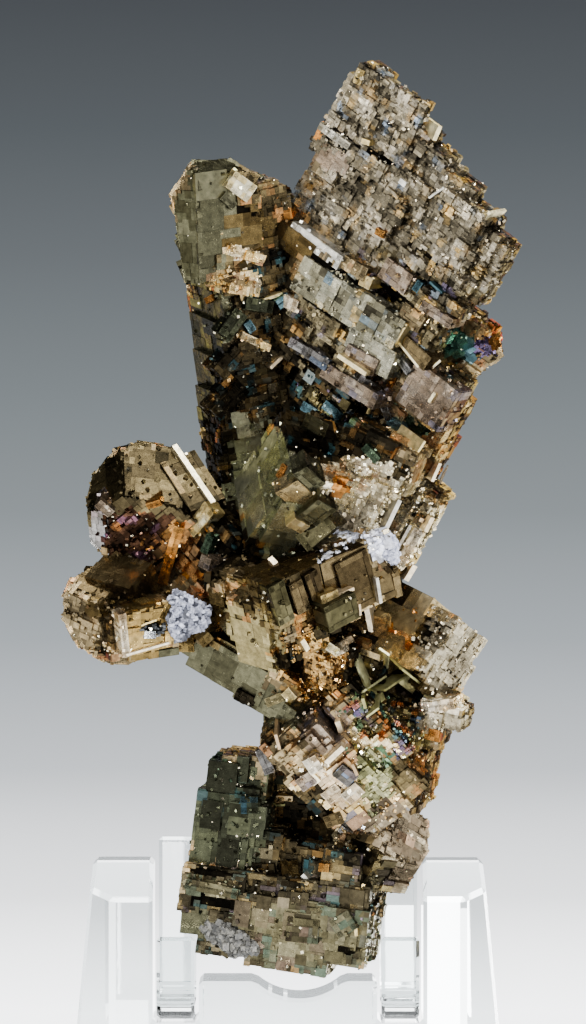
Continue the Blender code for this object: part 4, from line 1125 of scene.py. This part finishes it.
def tarnish(style, point, rng):
    """The tarnish colour of one block: its ground tone drifts over the specimen, and thin films
    lie over it in soft patches."""
    p = Vector(point)
    drift = (0.5 + BROAD[1] * noise.noise(p * BROAD[0])
             + FINE[1] * noise.noise(p * FINE[0] + Vector((9, 4, 2))))
    drift = min(1.0, max(0.0, drift + rng.uniform(-0.1, 0.1)))
    dark, middle, light = style.ground
    if drift < 0.5:
        colour = dark + (middle - dark) * (drift * 2)
    else:
        colour = middle + (light - middle) * (drift * 2 - 1)
    for number, (film, share) in enumerate(style.films):
        place = noise.noise(p * FILM_TURNS + Vector((17 * number + 5, -11 * number, 3)))
        cover = min(1.0, max(0.0, (place - 0.42 + share) * 4.0))
        colour = colour + (film - colour) * cover * rng.uniform(0.5, 0.9)
    return colour


print("middle tone of the blade", np.round(STYLES["blade"].ground[1], 2))

# %% [markdown]
# Tens of thousands of blocks would be slow as objects of their own. So they are gathered and made
# into one mesh, with the colour and the roughness of each block stored on its eight corners, where
# the material reads them.

# %% Gather blocks in one mesh
BLOCK_TRIANGLES = 12


class Blocks:
    """Gathers closed blocks, with a colour and a roughness each, and makes one mesh of them."""

    def __init__(self):
        self.corners, self.colours, self.polish = [], [], []

    def add(self, corners, colour, rough):
        self.corners.append(corners)
        self.colours.append(colour)
        self.polish.append(rough)

    def build(self, name, material):
        count = len(self.corners)
        points = np.concatenate(self.corners) * MM
        quads = (SIDES[None] + 8 * np.arange(count)[:, None, None]).reshape(-1, 4)
        mesh = bpy.data.meshes.new(name)
        mesh.from_pydata(points.tolist(), [], quads.tolist())
        tint = np.ones((count, 4), np.float32)
        tint[:, :3] = np.array(self.colours)
        colour = mesh.attributes.new("tarnish", "FLOAT_COLOR", "POINT")
        colour.data.foreach_set("color", np.repeat(tint, 8, axis=0).ravel())
        polish = mesh.attributes.new("polish", "FLOAT", "POINT")
        polish.data.foreach_set("value", np.repeat(np.array(self.polish, np.float32), 8))
        mesh.materials.append(material)
        obj = bpy.data.objects.new(name, mesh)
        bpy.context.scene.collection.objects.link(obj)
        print(name, count, "blocks,", count * BLOCK_TRIANGLES, "triangles")
        return obj


print("corners and sides of a block", len(CORNERS), len(SIDES))

# %% [markdown]
# Each cell becomes a low block with a narrow seam round it and a root in the rock. Raised blocks
# take a lighter tone and sunk ones a darker one. Groove cells stay flat, and in rough places a few
# blocks are left out, which makes pits. The mosaic is built in seven pieces, so that none becomes
# too heavy.

# %% Lay the mosaic of growth steps
LOWEST_MM = 0.02
SMALLEST_MM = 0.03
CELL_ROOT_MM = 0.45
SEAM_MM = 0.012
PITS_FROM_MM, PIT_SHARE = 0.15, 0.06
SMALLEST_FACE = 0.06                   # square mm


def cell_corners(face, cell):
    u, v, width, length, height, tip_u, tip_v = cell
    height = max(height, LOWEST_MM)
    size = (max(width - SEAM_MM, SMALLEST_MM), max(length - SEAM_MM, SMALLEST_MM),
            height + CELL_ROOT_MM)
    local = (CORNERS - (0.5, 0.5, 1)) * size
    a, b = math.radians(tip_u), math.radians(tip_v)
    local[:, 2] += height + local[:, 0] * math.tan(a) + local[:, 1] * math.tan(b)
    return (face.origin + np.outer(local[:, 0] + u, face.u) + np.outer(local[:, 1] + v, face.v)
            + np.outer(local[:, 2], face.normal))


def cover_face(face, mosaics, rng):
    cells = split_face(face, rng)
    if not cells:
        return
    inside = face.holds(np.array([cell[:2] for cell in cells]))
    for cell, kept in zip(cells, inside):
        if not kept:
            continue
        middle = face.origin + face.u * cell[0] + face.v * cell[1]
        style = face.style or style_at(middle)
        # painted shadow cells lie low and flat, with no tilt
        if style is STYLES["painted_shadow_groove"]:
            cell = (*cell[:4], LOWEST_MM, 0.0, 0.0)
        if style.relief > PITS_FROM_MM and rng.random() < PIT_SHARE:
            continue
        # darker the lower a block sits, lighter the higher
        depth = min(1.3, max(0.35, 0.88 + 2.0 * (cell[4] - ROCK_HEIGHT_MM)))
        spread = min(0.14, style.relief * 0.5)
        colour = tarnish(style, middle, rng) * depth * rng.uniform(1 - spread, 1 + spread)
        part = next(name for name, test in PARTS.items() if test(middle))
        mosaics[part].add(cell_corners(face, cell), colour, rng.uniform(*style.polish))


# The first part whose test a place in mm passes takes it
PARTS = {
    "blade_tip": lambda p: p[2] > 72.5 and p[0] > 0.2,
    "blade_upper": lambda p: p[2] > 63.5 and p[0] > 0.2,
    "blade_lower": lambda p: p[2] > 48 and p[0] > 0.2,
    "finger": lambda p: p[2] > 52,
    "middle": lambda p: p[2] > 39,
    "row": lambda p: p[2] > 30,
    "lower": lambda p: True,
}
rng = random.Random(11)
mosaics = {part: Blocks() for part in PARTS}
for face in faces:
    if face.area >= SMALLEST_FACE:
        cover_face(face, mosaics, rng)
pieces = [blocks.build(f"{part}_mosaic", pyrite) for part, blocks in mosaics.items()]

# %% [markdown]
# Under the mosaic lies the rock itself: a copy of the imported cluster, which shows in the seams and
# grooves. It takes the tarnish of its place, but darker: painted shade in the seams and grooves.

# %% The cluster under the mosaic
BODY_SHADE = 0.5
BODY_ROUGHNESS = 0.4


def cluster_body(source):
    body = bpy.data.objects.new("pyrite_body", source.data.copy())
    bpy.context.scene.collection.objects.link(body)
    mesh = body.data
    mesh.materials.clear()
    mesh.materials.append(pyrite)
    own = random.Random(5)
    tint = np.ones((len(mesh.loops), 4), np.float32)
    rough = np.full(len(mesh.vertices), BODY_ROUGHNESS, np.float32)
    for polygon in mesh.polygons:
        polygon.use_smooth = False
        centre = [c / MM for c in polygon.center]
        # painted shade: the rock showing in the seams is half as bright
        colour = tarnish(style_at(centre), centre, own) * BODY_SHADE
        for loop in polygon.loop_indices:
            tint[loop, :3] = colour
    colour = mesh.attributes.new("tarnish", "FLOAT_COLOR", "CORNER")
    colour.data.foreach_set("color", tint.ravel())
    polish = mesh.attributes.new("polish", "FLOAT", "POINT")
    polish.data.foreach_set("value", rough)
    return body


pieces.append(cluster_body(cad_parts["pyrite_cluster"]))
print("pyrite_body", len(pieces[-1].data.polygons), "triangles")

# %% [markdown]
# The slabs are blocks too, and are built in the same way. A wide one mostly hides under its own
# mosaic, and shows in the seams.

# %% Build the slabs
SLAB_ROUGHNESS = 0.33

slabs = Blocks()
for corners, style in slab_blocks:
    slabs.add(corners, tarnish(style, corners.mean(axis=0), rng), SLAB_ROUGHNESS)
pieces.append(slabs.build("pyrite_slabs", pyrite))

# %% [markdown]
# Loose grains are tiny cubes that grew on the faces in any direction. They give the sparkle of the
# rough places. They are scattered over the faces by area, as many as the style of the place says,
# and one in five is untarnished and bright. The back has fewer, to keep the model light.

# %% Grains on the faces
FRONT_SHARE, BACK_SHARE = 0.95, 0.3    # of the grains that the style says
GRAIN_SIZES_MM = (0.1, 0.32)
ON_MOSAIC_MM = 0.12
BARE_SHARE = 0.2
BARE_GRAIN = np.array(linear("#F4E8C8"))        # untarnished pyrite
BARE_ROUGHNESS = 0.12


def on_triangle(corners, rng):
    """A place on a triangle, each as likely as the others."""
    s, t = sorted((rng.random(), rng.random()))
    return corners[0] * s + corners[1] * (t - s) + corners[2] * (1 - t)


def triangle_area(corners):
    return 0.5 * np.linalg.norm(np.cross(corners[1] - corners[0], corners[2] - corners[0]))


def grain_corners(middle, size, rng):
    turn = Matrix.Rotation(rng.uniform(0, 6.28), 3, Vector(
        (rng.gauss(0, 1), rng.gauss(0, 1), rng.gauss(0, 1))).normalized())
    scale = np.array([size * rng.uniform(0.6, 1.3) for _ in range(3)])
    return (CORNERS - 0.5) * scale @ np.array(turn) + middle


def scatter_grains(faces, rng):
    blocks = Blocks()
    for face in faces:
        for corners in face.corners:
            style = face.style or style_at(corners.mean(axis=0))
            share = FRONT_SHARE if face.normal[1] < 0 else BACK_SHARE
            number = int(triangle_area(corners) * style.grains * share + rng.random())
            for _ in range(number):
                middle = on_triangle(corners, rng)
                size = rng.uniform(*GRAIN_SIZES_MM)
                middle = middle + face.normal * (ON_MOSAIC_MM + size * rng.uniform(-0.1, 0.25))
                colour = tarnish(style, middle, rng) * rng.uniform(0.8, 1.5)
                rough = rng.uniform(*style.polish)
                if rng.random() < BARE_SHARE:
                    colour = colour * 0.4 + BARE_GRAIN * 0.6
                    rough, size = BARE_ROUGHNESS, size * 0.7
                blocks.add(grain_corners(middle, size, rng), colour, rough)
    return blocks


grains = scatter_grains(faces, random.Random(23))
pieces.append(grains.build("pyrite_grains", pyrite))

# %% [markdown]
# All these pieces are one crystal cluster. They ride on the only body and stand for the packed
# cluster, which is then hidden.

# %% Hand the pyrite to the frame
for piece in pieces:
    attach(piece, "root")
    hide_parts("pyrite_cluster")
print("pyrite pieces", len(pieces))

# %% [markdown]
# The white crusts are calcite or quartz that filled small hollows last: a heap of matte, slightly
# bluish grains. Light goes a little way into such a mineral and softens its shadows, which is what
# the subsurface part does. Noise makes some places frosty and others grey.

# %% Material of the white crusts
FROST_MM = 0.25

crust_white, tree, shader = new_material("white_calcite_crust")
where = add_node(tree, "ShaderNodeNewGeometry")
frost = add_node(
    tree, "ShaderNodeTexNoise",
    values={"Scale": 1 / (FROST_MM * MM), "Detail": 3.0},
    links=[("Vector", where, "Position")],
)
ramp = add_node(tree, "ShaderNodeValToRGB", links=[("Fac", frost, "Fac")])
ramp.color_ramp.elements[0].position = 0.35
ramp.color_ramp.elements[1].position = 0.65
ramp.color_ramp.elements[0].color = (*linear("#7E8190"), 1)
ramp.color_ramp.elements[1].color = (*linear("#E3E5EE"), 1)
dirt = add_node(tree, "ShaderNodeAttribute", {"attribute_name": "tarnish"})
dirty = add_node(
    tree, "ShaderNodeVectorMath", {"operation": "MULTIPLY"},
    links=[(0, ramp, "Color"), (1, dirt, "Color")],
)
tree.links.new(dirty.outputs["Vector"], shader.inputs["Base Color"])
bump = add_node(
    tree, "ShaderNodeBump", values={"Strength": 0.6, "Distance": 0.03 * MM},
    links=[("Height", frost, "Fac")],
)
tree.links.new(bump.outputs["Normal"], shader.inputs["Normal"])
shader.inputs["Roughness"].default_value = 0.55
shader.inputs["Subsurface Weight"].default_value = 0.15
shader.inputs["Subsurface Radius"].default_value = (0.6 * MM, 0.6 * MM, 0.6 * MM)
print("frost, mm", FROST_MM)

# %% [markdown]
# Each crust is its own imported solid, dressed here with a few hundred small rhombs. The solid stays
# under them as the dark ground between the grains. The one at the foot is the greyest.

# %% White crusts
CRUST_GRAINS_MM = (0.2, 0.55)
CRUST_ROUGHNESS = 0.6


def crust(node_name, shades, per_mm2, rng):
    """Grains whose shade runs from the first to the second of two colours."""
    blocks = Blocks()
    dark, light = (np.array(linear(shade)) for shade in shades)
    for face in flat_faces(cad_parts[node_name]):
        for corners in face.corners:
            for _ in range(int(triangle_area(corners) * per_mm2 + rng.random())):
                middle = on_triangle(corners, rng)
                size = rng.uniform(*CRUST_GRAINS_MM)
                middle = middle + face.normal * size * rng.uniform(-0.4, 0.3)
                shade = dark + (light - dark) * rng.random() ** 0.7
                blocks.add(grain_corners(middle, size, rng), shade, CRUST_ROUGHNESS)
    piece = blocks.build(node_name + "_grains", crust_white)
    body = bpy.data.objects.new(node_name + "_body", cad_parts[node_name].data.copy())
    body.data.materials.clear()
    body.data.materials.append(crust_white)
    tint = body.data.attributes.new("tarnish", "FLOAT_COLOR", "POINT")
    tint.data.foreach_set("color", np.tile([*dark, 1.0], len(body.data.vertices)))
    bpy.context.scene.collection.objects.link(body)
    for part in (piece, body):
        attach(part, "root")
        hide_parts(node_name)


crust("white_crust_left", ("#42444C", "#E8EAF2"), 9.0, random.Random(31))
crust("white_crust_middle", ("#C4C6D2", "#FCFCFF"), 14.0, random.Random(32))
crust("white_crust_base", ("#2A2820", "#807C6E"), 10.0, random.Random(33))

# %% [markdown]
# The stand is cast acrylic, clear as water, sawn and flame polished. It shows what is behind it and
# a grey shade where it is thick. Handling has left fine scratches, which are long stretched noise
# in the bump and the roughness.

# %% Clear cast acrylic
SCRATCH_MM = 0.5
SCRATCH_STRETCH = 0.08                 # along the upright axis

acrylic, tree, shader = new_material("clear_cast_acrylic")
where = add_node(tree, "ShaderNodeNewGeometry")
stretch = add_node(
    tree, "ShaderNodeVectorMath", {"operation": "MULTIPLY"},
    values={1: (1.0, 1.0, SCRATCH_STRETCH)}, links=[(0, where, "Position")],
)
scratches = add_node(
    tree, "ShaderNodeTexNoise",
    values={"Scale": 1 / (SCRATCH_MM * MM), "Detail": 4.0, "Roughness": 0.7},
    links=[("Vector", stretch, "Vector")],
)
haze = add_node(
    tree, "ShaderNodeMapRange",
    values={"From Min": 0.5, "From Max": 0.8, "To Min": 0.01, "To Max": 0.12},
    links=[("Value", scratches, "Fac")],
)
tree.links.new(haze.outputs["Result"], shader.inputs["Roughness"])
bump = add_node(
    tree, "ShaderNodeBump", values={"Strength": 0.15, "Distance": 0.02 * MM},
    links=[("Height", scratches, "Fac")],
)
tree.links.new(bump.outputs["Normal"], shader.inputs["Normal"])
shader.inputs["Base Color"].default_value = (*linear("#DCE1E1"), 1)
shader.inputs["Transmission Weight"].default_value = 1.0
shader.inputs["IOR"].default_value = 1.49
print("scratches, mm", SCRATCH_MM)

# %% [markdown]
# The edges of the real stand are slightly broken, and that is what catches the light. Each node is
# copied with a small chamfer. A bevel modifier would do as well, but the mesh is cleaned first, so
# that the chamfer runs along whole edges. The backs of the two towers are not quite upright, as on
# a sawn block, so the right one shows the bright paper low down and the left one a darker band.

# %% Acrylic stand
TOWER_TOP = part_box("stand_base")[1][2]
TOWER_SIDE, TOWER_BACK = 11 * MM, 5 * MM       # beyond these a corner is at the back of a tower
FLAT, SHARP = math.radians(1), math.radians(25)


def polished_copy(node_name, edge_mm, lean=0.0):
    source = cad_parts[node_name]
    bm = bmesh.new()
    bm.from_mesh(source.data)
    bmesh.ops.remove_doubles(bm, verts=bm.verts, dist=1e-6)
    bmesh.ops.dissolve_limit(bm, angle_limit=FLAT, verts=bm.verts, edges=bm.edges)
    for vert in bm.verts:
        if vert.co.x > TOWER_SIDE and vert.co.y > TOWER_BACK:
            vert.co.y -= lean * vert.co.z
        if vert.co.x < -TOWER_SIDE and vert.co.y > TOWER_BACK:
            vert.co.y -= lean * 0.5 * (TOWER_TOP - vert.co.z)
    sharp = [edge for edge in bm.edges if edge.calc_face_angle(0) > SHARP]
    bmesh.ops.bevel(bm, geom=sharp, offset=edge_mm * MM, segments=1, profile=0.5,
                    affect="EDGES", clamp_overlap=True)
    mesh = bpy.data.meshes.new(node_name + "_polished")
    bm.to_mesh(mesh)
    bm.free()
    mesh.materials.append(acrylic)
    piece = bpy.data.objects.new(node_name + "_polished", mesh)
    bpy.context.scene.collection.objects.link(piece)
    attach(piece, "root")
    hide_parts(node_name)
    print(piece.name, len(mesh.polygons), "faces")


polished_copy("stand_base", 0.45, 0.09)
polished_copy("stand_hook_left", 0.3)
polished_copy("stand_hook_right", 0.3)
